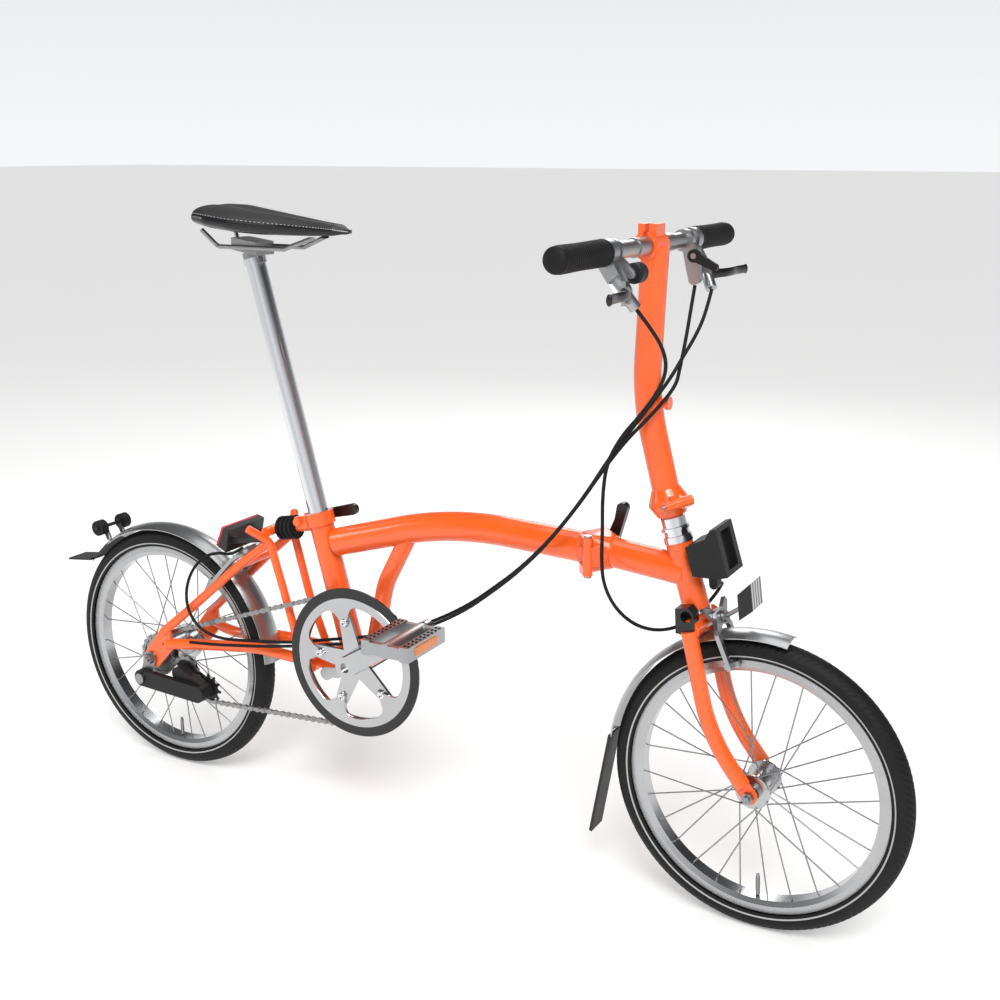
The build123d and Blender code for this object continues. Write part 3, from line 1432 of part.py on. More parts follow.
# ---- cables -------------------------------------------------------------------------------
cable_radius = 2.5
front_brake_route = [
    (393.6, -127.5, 858), (404, -104, 832), (409, -74, 802), (404, -51, 772), (389, -42, 742),
    (367, -47, 710), (343, -54, 680), (325, -57, 644), (318, -54, 598), (317, -50, 549),
    (315, -48, 505), (317, -44, 470), (330, -34, 436), (350, -16, 410), (372, 10, 396),
    (394, 38, 396), (414, 59, 412), (432, 68, 436), (446, 62, 458), (454, 46, 471),
    (454, 31, 466),
]
rear_brake_route = [
    (393.6, 127.5, 858), (394, 106, 826), (390, 78, 797), (386, 42, 772), (384, 8, 750),
    (373, -22, 724), (350, -29, 690), (324, -40, 652), (286, -47, 588), (236, -48, 522),
    (188, -43, 474), (150, -38, 442), (94, -31, 398), (30, -26, 360), (-32, -25, 332),
    (-92, -26, 313), (-152, -29, 299), (-204, -36, 288), (-228, -43, 284), (-268, -50, 280),
    (-322, -53, 273), (-366, -57, 270), (-402, -60, 280), (-424, -62, 308), (-430, -58, 342),
    (-424, -48, 374), (-406, -36, 398), (-380, -29, 406), (-354, -28, 405), (-331, -28, 421),
]
gear_route = [
    (375, 112, 864), (374, 102, 832), (378, 76, 793), (386, 38, 761), (395, 3, 742),
    (376, -33, 708), (350, -46, 678), (321, -51, 638), (281, -57, 576), (232, -56, 514),
    (184, -50, 466), (146, -44, 434), (92, -37, 391), (28, -31, 354), (-33, -30, 324),
    (-92, -31, 305), (-152, -32, 291), (-204, -37, 281), (-228, -44, 278), (-270, -55, 273),
    (-324, -59, 266), (-372, -64, 260), (-420, -66, 256),
]


def cable(route, name):
    """A cable on straight runs joined by the largest arcs that they allow."""
    points = [Vector(*point) for point in route]
    radii = []
    for before, here, after in zip(points, points[1:], points[2:]):
        turn = radians((here - before).get_angle(after - here))
        shorter = min((here - before).length, (after - here).length)
        radii.append(0.45 * shorter / tan(turn / 2))
    with BuildPart() as tube:
        with BuildLine() as path:
            FilletPolyline(*points, radius=radii)
        with BuildSketch(Plane(origin=path.line @ 0, z_dir=path.line % 0)):
            Circle(cable_radius)
        sweep(path=path.line)
    route_length = sum(edge.length for edge in path.edges())
    expected = pi * cable_radius**2 * route_length
    print(name, "length", round(route_length), "volume ratio",
          round(tube.part.volume / expected, 4), "least radius", round(min(radii)))
    return tube.part


save("cables", cable(front_brake_route, "front brake cable"),
     cable(rear_brake_route, "rear brake cable"), cable(gear_route, "gear cable"))
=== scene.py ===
import math
import bmesh
import bpy
import numpy as np
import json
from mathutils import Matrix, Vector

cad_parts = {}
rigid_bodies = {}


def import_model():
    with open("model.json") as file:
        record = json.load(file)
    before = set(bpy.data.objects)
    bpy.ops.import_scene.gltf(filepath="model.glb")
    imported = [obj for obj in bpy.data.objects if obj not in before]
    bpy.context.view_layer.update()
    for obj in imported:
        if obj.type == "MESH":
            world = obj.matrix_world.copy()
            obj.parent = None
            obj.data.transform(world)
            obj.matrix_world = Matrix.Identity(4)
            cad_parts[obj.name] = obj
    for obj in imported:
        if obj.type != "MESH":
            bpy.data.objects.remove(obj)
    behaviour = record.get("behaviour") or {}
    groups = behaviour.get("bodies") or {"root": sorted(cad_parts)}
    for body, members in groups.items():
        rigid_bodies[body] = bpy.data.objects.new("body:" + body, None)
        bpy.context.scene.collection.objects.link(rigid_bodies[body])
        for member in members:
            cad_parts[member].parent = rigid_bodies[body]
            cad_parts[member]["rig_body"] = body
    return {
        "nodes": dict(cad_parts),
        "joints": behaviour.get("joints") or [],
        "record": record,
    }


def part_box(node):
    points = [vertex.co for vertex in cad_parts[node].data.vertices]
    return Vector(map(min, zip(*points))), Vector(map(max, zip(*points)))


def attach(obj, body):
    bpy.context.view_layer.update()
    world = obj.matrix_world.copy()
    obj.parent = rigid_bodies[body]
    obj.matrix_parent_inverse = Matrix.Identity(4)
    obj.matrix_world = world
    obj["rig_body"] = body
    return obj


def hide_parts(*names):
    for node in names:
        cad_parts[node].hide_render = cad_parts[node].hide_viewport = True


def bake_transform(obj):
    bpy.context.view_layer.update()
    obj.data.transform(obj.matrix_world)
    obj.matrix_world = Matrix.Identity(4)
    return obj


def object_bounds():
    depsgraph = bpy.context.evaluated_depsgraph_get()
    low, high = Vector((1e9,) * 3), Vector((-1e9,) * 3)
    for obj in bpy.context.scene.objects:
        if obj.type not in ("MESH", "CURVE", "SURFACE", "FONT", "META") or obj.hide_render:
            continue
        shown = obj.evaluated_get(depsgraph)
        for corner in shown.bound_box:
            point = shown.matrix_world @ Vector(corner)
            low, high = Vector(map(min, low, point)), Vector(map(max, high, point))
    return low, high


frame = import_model()
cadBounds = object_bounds()
nodes = frame["nodes"]
joints = {joint["name"]: joint for joint in frame["joints"]}
print("stage: frame loaded,", len(nodes), "nodes")


def jointPlace(name):
    return np.array(joints[name]["pos_m"], float)


def boxOf(node):
    low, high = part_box(node)
    return np.array(low, float), np.array(high, float)


# shader helpers
class Wire:
    # one socket of a material, with arithmetic that adds Math nodes
    def __init__(self, shade, socket):
        self.shade = shade
        self.socket = socket

    def math(self, operation, first, second):
        return self.shade.node("ShaderNodeMath", {"operation": operation}, {0: first, 1: second})

    def __add__(self, other):
        return self.math("ADD", self, other)

    def __sub__(self, other):
        return self.math("SUBTRACT", self, other)

    def __mul__(self, other):
        return self.math("MULTIPLY", self, other)

    def __gt__(self, other):
        return self.math("GREATER_THAN", self, other)

    def __lt__(self, other):
        return self.math("LESS_THAN", self, other)

    def __pow__(self, other):
        return self.math("POWER", self, other)

    def __rsub__(self, other):
        return self.math("SUBTRACT", other, self)

    __radd__ = __add__
    __rmul__ = __mul__


class Shade:
    # a material whose nodes all come from one method
    def __init__(self, name):
        self.material = bpy.data.materials.new(name)
        self.material.use_nodes = True
        self.tree = self.material.node_tree
        self.tree.nodes.clear()

    def node(self, kind, settings=None, inputs=None, out=0):
        made = self.tree.nodes.new(kind)
        for key, value in (settings or {}).items():
            if key == "stops":
                ramp = made.color_ramp.elements
                for index, (place, colour) in enumerate(value):
                    stop = ramp[index] if index < len(ramp) else ramp.new(place)
                    stop.position = place
                    stop.color = (*colour, 1)
            else:
                setattr(made, key, value)
        for key, value in (inputs or {}).items():
            if isinstance(value, Wire):
                self.tree.links.new(value.socket, made.inputs[key])
            else:
                made.inputs[key].default_value = value
        return Wire(self, made.outputs[out]) if len(made.outputs) else None

    def coords(self, centre=(0, 0, 0), scale=(1, 1, 1)):
        place = self.node("ShaderNodeTexCoord", out=3)
        shifted = self.node("ShaderNodeVectorMath", {"operation": "SUBTRACT"}, {0: place, 1: centre})
        return self.node("ShaderNodeVectorMath", {"operation": "MULTIPLY"}, {0: shifted, 1: scale})

    def noise(self, vector, scale, detail=3.0, rough=0.55):
        return self.node("ShaderNodeTexNoise", {},
                         {"Vector": vector, "Scale": scale, "Detail": detail, "Roughness": rough})

    def split(self, vector):
        made = self.tree.nodes.new("ShaderNodeSeparateXYZ")
        self.tree.links.new(vector.socket, made.inputs[0])
        return [Wire(self, made.outputs[index]) for index in range(3)]

    def mix(self, factor, first, second):
        made = self.tree.nodes.new("ShaderNodeMix")
        made.data_type = "RGBA"
        for index, value in ((0, factor), (6, first), (7, second)):
            if isinstance(value, Wire):
                self.tree.links.new(value.socket, made.inputs[index])
            else:
                made.inputs[index].default_value = value if index == 0 else (*value, 1)
        return Wire(self, made.outputs[2])

    def band(self, value, low, high):
        return (value > low) * (value < high)

    def surface(self, **sockets):
        shader = self.node("ShaderNodeBsdfPrincipled", {}, {
            key.replace("_", " "): ((*value, 1) if key == "Base_Color" and not isinstance(value, Wire)
                                    else value) for key, value in sockets.items()})
        self.node("ShaderNodeOutputMaterial", {}, {"Surface": shader})
        return self.material

    def bump(self, height, strength, distance=0.001):
        return self.node("ShaderNodeBump", {}, {"Height": height, "Strength": strength,
                                                "Distance": distance})


def plainFinish(name, look):
    # a finish whose colour and gloss drift with two sizes of noise, over a fine grain
    shade = Shade(name)
    place = shade.coords(scale=look.get("stretch", (1, 1, 1)))
    drift = shade.noise(place, look["driftScale"], 4.0)
    grain = shade.noise(place, look["grainScale"], 2.0)
    colour = shade.mix(drift, look["dark"], look["light"])
    rough = drift * look["roughSwing"] + grain * look["grainGloss"] + look["rough"]
    sockets = {"Base_Color": colour, "Roughness": rough, "Metallic": look.get("metal", 0.0),
               "Normal": shade.bump(grain, look["bump"], 0.0004),
               "Specular_IOR_Level": look.get("sheen", 0.5)}
    if "coat" in look:
        sockets["Coat_Weight"] = look["coat"]
        sockets["Coat_Roughness"] = 0.06
    return shade.surface(**sockets)


looks = {
    "orange_paint": {"dark": (0.93, 0.105, 0.008), "light": (1.0, 0.135, 0.014), "driftScale": 9.0,
                     "grainScale": 900.0, "roughSwing": 0.08, "grainGloss": 0.06, "rough": 0.24,
                     "bump": 0.10, "coat": 0.6},
    "bare_aluminium": {"dark": (0.34, 0.345, 0.355), "light": (0.50, 0.505, 0.515), "driftScale": 22.0,
                       "grainScale": 700.0, "roughSwing": 0.14, "grainGloss": 0.10, "rough": 0.24,
                       "metal": 1.0, "bump": 0.10, "stretch": (1, 0.15, 1)},
    "polished_aluminium": {"dark": (0.42, 0.425, 0.435), "light": (0.58, 0.585, 0.595),
                           "driftScale": 14.0,
                           "grainScale": 500.0, "roughSwing": 0.12, "grainGloss": 0.05, "rough": 0.15,
                           "metal": 1.0, "bump": 0.05},
    "chrome": {"dark": (0.70, 0.71, 0.73), "light": (0.80, 0.81, 0.83), "driftScale": 8.0,
               "grainScale": 300.0, "roughSwing": 0.05, "grainGloss": 0.03, "rough": 0.05,
               "metal": 1.0, "bump": 0.02, "stretch": (1, 1, 0.1)},
    "steel": {"dark": (0.24, 0.24, 0.245), "light": (0.40, 0.40, 0.405), "driftScale": 30.0,
              "grainScale": 600.0, "roughSwing": 0.15, "grainGloss": 0.08, "rough": 0.26,
              "metal": 1.0, "bump": 0.08},
    "black_rubber": {"dark": (0.006, 0.006, 0.007), "light": (0.015, 0.015, 0.016), "driftScale": 25.0,
                     "grainScale": 900.0, "roughSwing": 0.15, "grainGloss": 0.10, "rough": 0.50,
                     "bump": 0.30, "sheen": 0.2},
    "black_plastic": {"dark": (0.007, 0.007, 0.008), "light": (0.016, 0.016, 0.017), "driftScale": 16.0,
                      "grainScale": 1400.0, "roughSwing": 0.10, "grainGloss": 0.12, "rough": 0.34,
                      "bump": 0.25, "sheen": 0.28},
    "gloss_black_plastic": {"dark": (0.005, 0.005, 0.006), "light": (0.010, 0.010, 0.011),
                            "driftScale": 12.0, "grainScale": 800.0, "roughSwing": 0.08,
                            "grainGloss": 0.05, "rough": 0.16, "bump": 0.06},
    "silver_mudguard": {"dark": (0.46, 0.47, 0.48), "light": (0.56, 0.57, 0.58), "driftScale": 7.0,
                        "grainScale": 1600.0, "roughSwing": 0.10, "grainGloss": 0.08, "rough": 0.24,
                        "metal": 0.9, "bump": 0.08, "coat": 0.2},
    "clear_reflector": {"dark": (0.55, 0.56, 0.58), "light": (0.82, 0.83, 0.85), "driftScale": 60.0,
                        "grainScale": 500.0, "roughSwing": 0.10, "grainGloss": 0.10, "rough": 0.10,
                        "bump": 0.4, "coat": 0.8},
}
finishes = {name: plainFinish(name, look) for name, look in looks.items()}


# where one node changes finish, in metres
splits = {"rearLens": 0.5076, "frontLens": 0.6105, "frontLensHalf": 0.0179, "guardFace": -0.0465,
          "guardInner": 0.1035, "rimWall": 0.1722, "frontFlapTop": 0.2393, "rearFlapFront": -0.6395}


def reflectorFinish(name, deep, bright, scale):
    # moulded prisms: two crossed sets of ridges under a clear coat, with colour going from deep to
    # bright along the ridges as painted glints and painted shade on the facets
    shade = Shade(name)
    x, y, z = shade.split(shade.coords(scale=(scale, scale, scale)))
    ridge = shade.node("ShaderNodeMath", {"operation": "SINE"}, {0: y + z})
    cross = shade.node("ShaderNodeMath", {"operation": "SINE"}, {0: y - z + x * 0.3})
    prism = ridge * cross * 0.5 + 0.5
    # painted glints and painted shade: the colour turns bright on some facets and deep on others with
    # the prisms
    colour = shade.mix(prism, deep, bright)
    return shade.surface(Base_Color=colour, Roughness=prism * 0.15 + 0.10, Coat_Weight=1.0,
                         Coat_Roughness=0.04, Normal=shade.bump(prism, 0.5, 0.0006))


finishes["amber_reflector"] = reflectorFinish("amber_reflector", (0.55, 0.10, 0.0),
                                              (1.0, 0.30, 0.01), 2600.0)


def rearReflectorFinish():
    # red prisms on the lens that faces the rear, their red going dark and bright as painted shade and
    # painted glints, black housing in front of it
    shade = Shade("rear_reflector")
    low, high = boxOf("rear_reflector")
    x, y, z = shade.split(shade.coords())
    lens = 0.401 * z - 0.917 * x > splits["rearLens"]
    across = shade.node("ShaderNodeMath", {"operation": "SINE"}, {0: (y + z) * 2400.0})
    along = shade.node("ShaderNodeMath", {"operation": "SINE"}, {0: (y - z) * 2400.0})
    prism = across * along * 0.5 + 0.5
    # painted glints and painted shade: the lens red turns bright and dark with the prisms
    redWithPaintedGlints = shade.mix(prism, (0.30, 0.0, 0.0), (0.85, 0.012, 0.01))
    colour = shade.mix(lens, (0.014, 0.014, 0.015), redWithPaintedGlints)
    return shade.surface(Base_Color=colour, Roughness=0.45 - lens * 0.3,
                         Normal=shade.bump(prism * lens, 0.5, 0.0006))


def chainringFinish():
    # bright metal inside, a black guard round it, told apart by distance from the axle and the middle
    shade = Shade("chainring")
    centre = jointPlace("crank_spin")
    x, y, z = shade.split(shade.coords(centre=tuple(centre)))
    radius = (x * x + z * z) ** 0.5
    guard = (y < float(splits["guardFace"] - centre[1])) * (radius > splits["guardInner"])
    grain = shade.noise(shade.coords(), 900.0, 2.0)
    colour = shade.mix(guard, (0.50, 0.50, 0.52), (0.010, 0.010, 0.011))
    return shade.surface(Base_Color=colour, Roughness=grain * 0.15 + 0.28, Metallic=1.0 - guard,
                         Normal=shade.bump(grain, 0.12, 0.0003))


def frontReflectorFinish():
    # ribbed clear lens with bright upright strips between dark ones as painted reflections and painted
    # shade, a black edge, a metal bracket
    shade = Shade("front_reflector")
    x, y, z = shade.split(shade.coords())
    lens = x * 0.955 + z * 0.294 > splits["frontLens"]
    ribs = shade.node("ShaderNodeMath", {"operation": "SINE"}, {0: y * 700.0})
    fine = shade.node("ShaderNodeMath", {"operation": "SINE"}, {0: z * 4200.0})
    # painted reflections and painted shade: bright and dark upright strips across the ribs of the clear
    # lens
    paintedRibReflections = shade.mix(ribs * 0.5 + 0.5, (0.05, 0.055, 0.06), (0.62, 0.63, 0.65))
    edge = (y * y > splits["frontLensHalf"] ** 2) * lens
    colour = shade.mix(edge, shade.mix(lens, (0.30, 0.30, 0.31), paintedRibReflections), (0.008, 0.008, 0.009))
    return shade.surface(Base_Color=colour, Roughness=0.30 - lens * 0.15, Metallic=0.9 - lens * 0.9,
                         Normal=shade.bump((fine * 0.3 + ribs) * lens, 0.4, 0.0006))


def guardFinish(name, flap):
    # brushed metal sheet, and black where the flap mask says so
    shade = Shade(name)
    x, y, z = shade.split(shade.coords())
    black = flap(x, y, z)
    drift = shade.noise(shade.coords(), 7.0, 4.0)
    grain = shade.noise(shade.coords(scale=(1, 0.1, 1)), 1600.0, 2.0)
    metal = shade.mix(drift, (0.38, 0.385, 0.39), (0.50, 0.505, 0.51))
    colour = shade.mix(black, metal, (0.008, 0.008, 0.009))
    return shade.surface(Base_Color=colour, Metallic=0.95 - black * 0.95,
                         Roughness=drift * 0.10 + grain * 0.08 + 0.20 + black * 0.22,
                         Normal=shade.bump(grain, 0.10, 0.0004))


def rimFinish(name, centre):
    # machined rings round the braking wall and a satin floor
    shade = Shade(name)
    x, y, z = shade.split(shade.coords(centre=tuple(centre)))
    radius = (x * x + z * z) ** 0.5
    rings = shade.node("ShaderNodeMath", {"operation": "SINE"}, {0: radius * 9000.0})
    wall = radius > splits["rimWall"]
    drift = shade.noise(shade.coords(), 18.0, 4.0)
    colour = shade.mix(drift, (0.40, 0.405, 0.415), (0.54, 0.545, 0.555))
    return shade.surface(Base_Color=colour, Metallic=1.0, Roughness=drift * 0.10 + wall * 0.08 + 0.14,
                         Normal=shade.bump(rings * wall, 0.25, 0.0002))


def tyreFinish(name, centre, look):
    # black rubber with a pale reflective ring on each wall and fine moulding lines
    shade = Shade(name)
    x, y, z = shade.split(shade.coords(centre=tuple(centre)))
    radius = (x * x + z * z) ** 0.5
    ring = shade.band(radius, look["ringLow"], look["ringHigh"])
    grain = shade.noise(shade.coords(), 700.0, 3.0)
    dust = shade.noise(shade.coords(), 12.0, 4.0)
    lines = shade.node("ShaderNodeMath", {"operation": "SINE"}, {0: radius * 5200.0})
    rubber = shade.mix(dust, (0.006, 0.006, 0.0065), (0.014, 0.014, 0.0135))
    colour = shade.mix(ring, rubber, (0.42, 0.43, 0.42))
    return shade.surface(Base_Color=colour, Roughness=grain * 0.16 + 0.50 - ring * 0.25,
                         Specular_IOR_Level=0.2,
                         Normal=shade.bump(grain * 0.6 + lines * 0.2, 0.35, 0.0004))


bodyOfNode = {name: piece["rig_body"] if "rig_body" in piece else piece.parent.name
              for name, piece in nodes.items()}
slotOfNode = {part["node"]: part["material_slot"] for part in frame["record"]["subparts"]}
special = {"rear_reflector": rearReflectorFinish(), "chainring": chainringFinish(),
           "front_mudguard": guardFinish("front_mudguard", lambda x, y, z: z < splits["frontFlapTop"]),
           "rear_mudguard": guardFinish("rear_mudguard", lambda x, y, z: x < splits["rearFlapFront"]),
           "front_rim": rimFinish("front_rim", jointPlace("front_wheel_spin")),
           "rear_rim": rimFinish("rear_rim", jointPlace("rear_wheel_spin"))}
special.update({name: finishes["gloss_black_plastic"] for name in
                ("main_hinge_lever", "stem_hinge_lever", "seat_clamp_lever")})
special["right_pedal"] = finishes["bare_aluminium"]
special["front_reflector"] = frontReflectorFinish()
fallback = {"tyre_rubber": "black_rubber", "saddle_cover": "black_plastic"}
for name, piece in nodes.items():
    slot = slotOfNode.get(name, "steel")
    finish = special.get(name) or finishes[fallback.get(slot, slot)]
    piece.data.materials.clear()
    piece.data.materials.append(finish)
print("stage: finishes on the packed nodes")


# mesh helpers
def gridFaces(rows, columns, loopRows, loopColumns):
    # quads of a grid of points, joined end to end where a direction is a loop
    down = np.arange(rows if loopRows else rows - 1)
    across = np.arange(columns if loopColumns else columns - 1)
    first, second = np.meshgrid(down, across, indexing="ij")
    nextRow, nextColumn = (first + 1) % rows, (second + 1) % columns
    corners = [first * columns + second, nextRow * columns + second,
               nextRow * columns + nextColumn, first * columns + nextColumn]
    return np.stack(corners, -1).reshape(-1, 4)


def putMesh(name, points, faces, body, finish, smooth=True, stands=(), uv=None):
    mesh = bpy.data.meshes.new(name)
    mesh.from_pydata(np.asarray(points, float).reshape(-1, 3).tolist(), [],
                     [list(face) for face in faces])
    if uv is not None:
        layer = mesh.uv_layers.new(name="surface")
        index = np.empty(len(mesh.loops), int)
        mesh.loops.foreach_get("vertex_index", index)
        layer.data.foreach_set("uv", np.asarray(uv, float)[index].ravel())
    work = bmesh.new()
    work.from_mesh(mesh)
    bmesh.ops.remove_doubles(work, verts=work.verts, dist=1e-6)
    bmesh.ops.recalc_face_normals(work, faces=work.faces)
    work.to_mesh(mesh)
    work.free()
    mesh.polygons.foreach_set("use_smooth", np.full(len(mesh.polygons), smooth))
    mesh.materials.append(finish)
    piece = bpy.data.objects.new(name, mesh)
    bpy.context.scene.collection.objects.link(piece)
    if body:
        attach(piece, body)
    if stands:
        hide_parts(*stands)
    return piece


def turned(origin, axis, profile, columns):
    # a profile of (along, radius) turned once round an axis, as a grid of points
    axis = np.asarray(axis, float) / np.linalg.norm(axis)
    side = np.cross(axis, [0.0, 0.0, 1.0] if abs(axis[2]) < 0.9 else [1.0, 0.0, 0.0])
    side /= np.linalg.norm(side)
    other = np.cross(axis, side)
    profile = np.asarray(profile, float)
    angle = np.linspace(0, 2 * np.pi, columns, endpoint=False)
    ring = np.cos(angle)[:, None] * side + np.sin(angle)[:, None] * other
    return (np.asarray(origin, float) + profile[:, None, :1] * axis
            + profile[:, None, 1:2] * ring[None])


def smoothPath(points, count):
    # a quadratic B-spline through the middles of the runs, ends held, sampled evenly
    points = np.asarray(points, float)
    middle = (points[1:-2] + points[2:-1]) / 2
    starts = np.vstack([points[:1], middle])
    ends = np.vstack([middle, points[-1:]])
    hold = points[1:-1]
    t = np.linspace(0, len(hold), count, endpoint=True)
    piece = np.minimum(t.astype(int), len(hold) - 1)
    u = (t - piece)[:, None]
    return (1 - u) ** 2 * starts[piece] + 2 * u * (1 - u) * hold[piece] + u ** 2 * ends[piece]


def swept(path, wide, high, up, columns):
    # an ellipse carried along a path, its half sizes given at every station
    tangent = np.gradient(path, axis=0)
    tangent /= np.linalg.norm(tangent, axis=1)[:, None]
    side = np.cross(tangent, np.asarray(up, float))
    side /= np.linalg.norm(side, axis=1)[:, None]
    rise = np.cross(side, tangent)
    angle = np.linspace(0, 2 * np.pi, columns, endpoint=False)
    return (path[:, None, :] + (np.asarray(wide)[:, None] * np.cos(angle))[..., None] * side[:, None]
            + (np.asarray(high)[:, None] * np.sin(angle))[..., None] * rise[:, None])


def stepUp(value, low, high):
    t = np.clip((value - low) / (high - low), 0, 1)
    return t * t * (3 - 2 * t)


# tyres
tyreLook = {"columns": 1040, "arcRows": 45, "innerRows": 9, "blocks": 130, "casing": 0.0185,
            "crown": 0.1905, "grooveDepth": 0.0011, "sipeDepth": 0.0010, "arc": 118.0,
            "ringLow": 0.1862, "ringHigh": 0.1882, "valve": (0.133, 0.1642)}


def tyrePoints(centre, look):
    # r = crown + casing cos(phi), y = casing sin(phi); the tread is cut by two grooves round the
    # wheel and by slanting sipes, and a thinner arc inside closes the shell
    around = np.linspace(0, 2 * np.pi, look["columns"], endpoint=False)
    phi = np.radians(np.linspace(-look["arc"], look["arc"], look["arcRows"]))
    aroundGrid, phiGrid = np.meshgrid(around, phi)
    away = np.abs(np.degrees(phiGrid))
    groove = np.exp(-((away - 15) / 3.4) ** 2)
    turn = aroundGrid * look["blocks"] / (2 * np.pi) + np.degrees(phiGrid) / 32
    sipe = stepUp(np.cos(2 * np.pi * turn), 0.45, 0.85)
    sipe = sipe * stepUp(away, 19, 24) * (1 - stepUp(away, 52, 60))
    bead = 0.0007 * np.exp(-((away - 106) / 3.0) ** 2)
    cut = np.maximum(groove * look["grooveDepth"], sipe * look["sipeDepth"]) + bead
    size = look["casing"] - cut
    outerR = look["crown"] + size * np.cos(phiGrid)
    outerY = size * np.sin(phiGrid)
    back = np.radians(np.linspace(look["arc"] - 2, 2 - look["arc"], look["innerRows"]))
    innerSize = look["casing"] - 0.0045
    innerR = np.repeat((look["crown"] + innerSize * np.cos(back))[:, None], look["columns"], 1)
    innerY = np.repeat((innerSize * np.sin(back))[:, None], look["columns"], 1)
    radius = np.vstack([outerR, innerR])
    across = np.vstack([outerY, innerY])
    spin = np.repeat(around[None], len(radius), 0)
    return np.stack([centre[0] + radius * np.cos(spin), centre[1] + across,
                     centre[2] + radius * np.sin(spin)], -1)


for name, spin in (("front", "front_wheel_spin"), ("rear", "rear_wheel_spin")):
    centre = jointPlace(spin)
    points = tyrePoints(centre, tyreLook)
    rows, columns = points.shape[:2]
    putMesh(name + "TyreCasing", points, gridFaces(rows, columns, True, True), name + "_wheel",
            tyreFinish(name + "_tyre", centre, tyreLook), stands=[name + "_tyre"])
    angle = math.radians(-88 if name == "front" else -90)
    inner, outer = tyreLook["valve"]
    outward = np.array([math.cos(angle), 0, math.sin(angle)])
    threads = np.linspace(0.004, outer - inner, 60)
    profile = [(0, 0), (0, 0.0022), (0.0035, 0.0024)]
    profile += [(t, 0.0029 + 0.0003 * math.sin(t * 9000)) for t in threads] + [(outer - inner, 0)]
    stem = turned(centre + outward * inner, outward, profile, 14)
    putMesh(name + "Valve", stem, gridFaces(len(profile), 14, False, True), name + "_wheel",
            finishes["steel"])
print("stage: tyres")

# grips
gripLook = {"ribs": 26, "ribDepth": 0.0010, "radius": 0.0162, "length": 0.128, "rows": 420,
            "columns": 56}


def gripProfile(look, length):
    # radius = base + ribs that fade towards both ends, a flange inside and a rounded end outside
    along = np.linspace(0, length, look["rows"])
    part = along / length
    ribs = look["ribDepth"] * np.abs(np.sin(np.pi * look["ribs"] * part)) ** 0.6
    ribs = ribs * stepUp(part, 0.07, 0.10) * (1 - stepUp(part, 0.88, 0.92))
    flange = 0.0008 * (1 - stepUp(part, 0.03, 0.05))
    waist = -0.0006 * np.sin(np.pi * part) ** 2
    radius = look["radius"] + ribs * 0.8 + flange + waist
    end = np.clip((along - (length - 0.008)) / 0.008, 0, 1)
    radius = radius * np.sqrt(np.clip(1 - end ** 2.4, 0, 1))
    profile = np.stack([along, radius], -1)
    return np.vstack([[0, 0], [0, look["radius"] - 0.001], profile[1:-1], [length, 0]])


gripLow, gripHigh = boxOf("handlebar_grips")
bar = (gripLow + gripHigh) / 2
profile = gripProfile(gripLook, gripLook["length"])
for side, label in ((1, "left"), (-1, "right")):
    start = np.array([bar[0], side * (gripHigh[1] - gripLook["length"]), bar[2]])
    points = turned(start, (0, side, 0), profile, gripLook["columns"])
    putMesh(label + "Grip", points, gridFaces(len(profile), gripLook["columns"], False, True),
            "stem", finishes["black_rubber"],
            stands=["handlebar_grips"] if side > 0 else ())
print("stage: grips")

# brake levers
leverLook = {"half": 0.0062, "thick": 0.0034, "rows": 90, "columns": 28,
             "route": [(-0.003, -0.004, 0), (0.004, 0.006, 0), (0.014, 0.017, 0.0005),
                       (0.0175, 0.034, 0.001), (0.0160, 0.058, 0.001), (0.0195, 0.078, 0.001),
                       (0.0205, 0.086, 0.001)]}
for side, label, joint in ((1, "left", "left_brake_lever_squeeze"),
                           (-1, "right", "right_brake_lever_squeeze")):
    pivot = jointPlace(joint)
    route = np.array(leverLook["route"]) * np.array([1, side, 1]) + pivot + np.array([0, 0, -0.001])
    path = smoothPath(route, leverLook["rows"])
    part = np.linspace(0, 1, leverLook["rows"])
    close = np.sqrt(np.clip(1 - np.abs(2 * part - 1) ** 26, 0, 1))
    swell = 1 + 0.18 * np.exp(-((part - 0.08) / 0.08) ** 2) + 0.25 * np.exp(-((part - 0.97) / 0.03) ** 2)
    points = swept(path, leverLook["thick"] * close * swell, leverLook["half"] * close * swell,
                   (0, 0, 1), leverLook["columns"])
    putMesh(label + "BrakeBlade", points,
            gridFaces(leverLook["rows"], leverLook["columns"], False, True),
            label + "_brake_lever", finishes["gloss_black_plastic"],
            stands=[label + "_brake_lever"])
print("stage: brake levers")

# saddle
saddleLook = {"rows": 150, "columns": 96, "seam": 0.205, "fill": 0.8}
saddleForm = {"x": [-0.393, -0.386, -0.368, -0.340, -0.300, -0.262, -0.225, -0.180, -0.140, -0.120],
              "half": [0.004, 0.038, 0.064, 0.0715, 0.066, 0.050, 0.034, 0.0225, 0.019, 0.004],
              "top": [0.950, 0.959, 0.963, 0.9625, 0.957, 0.953, 0.949, 0.944, 0.939, 0.929],
              "low": [0.944, 0.936, 0.930, 0.925, 0.920, 0.916, 0.914, 0.914, 0.917, 0.924]}


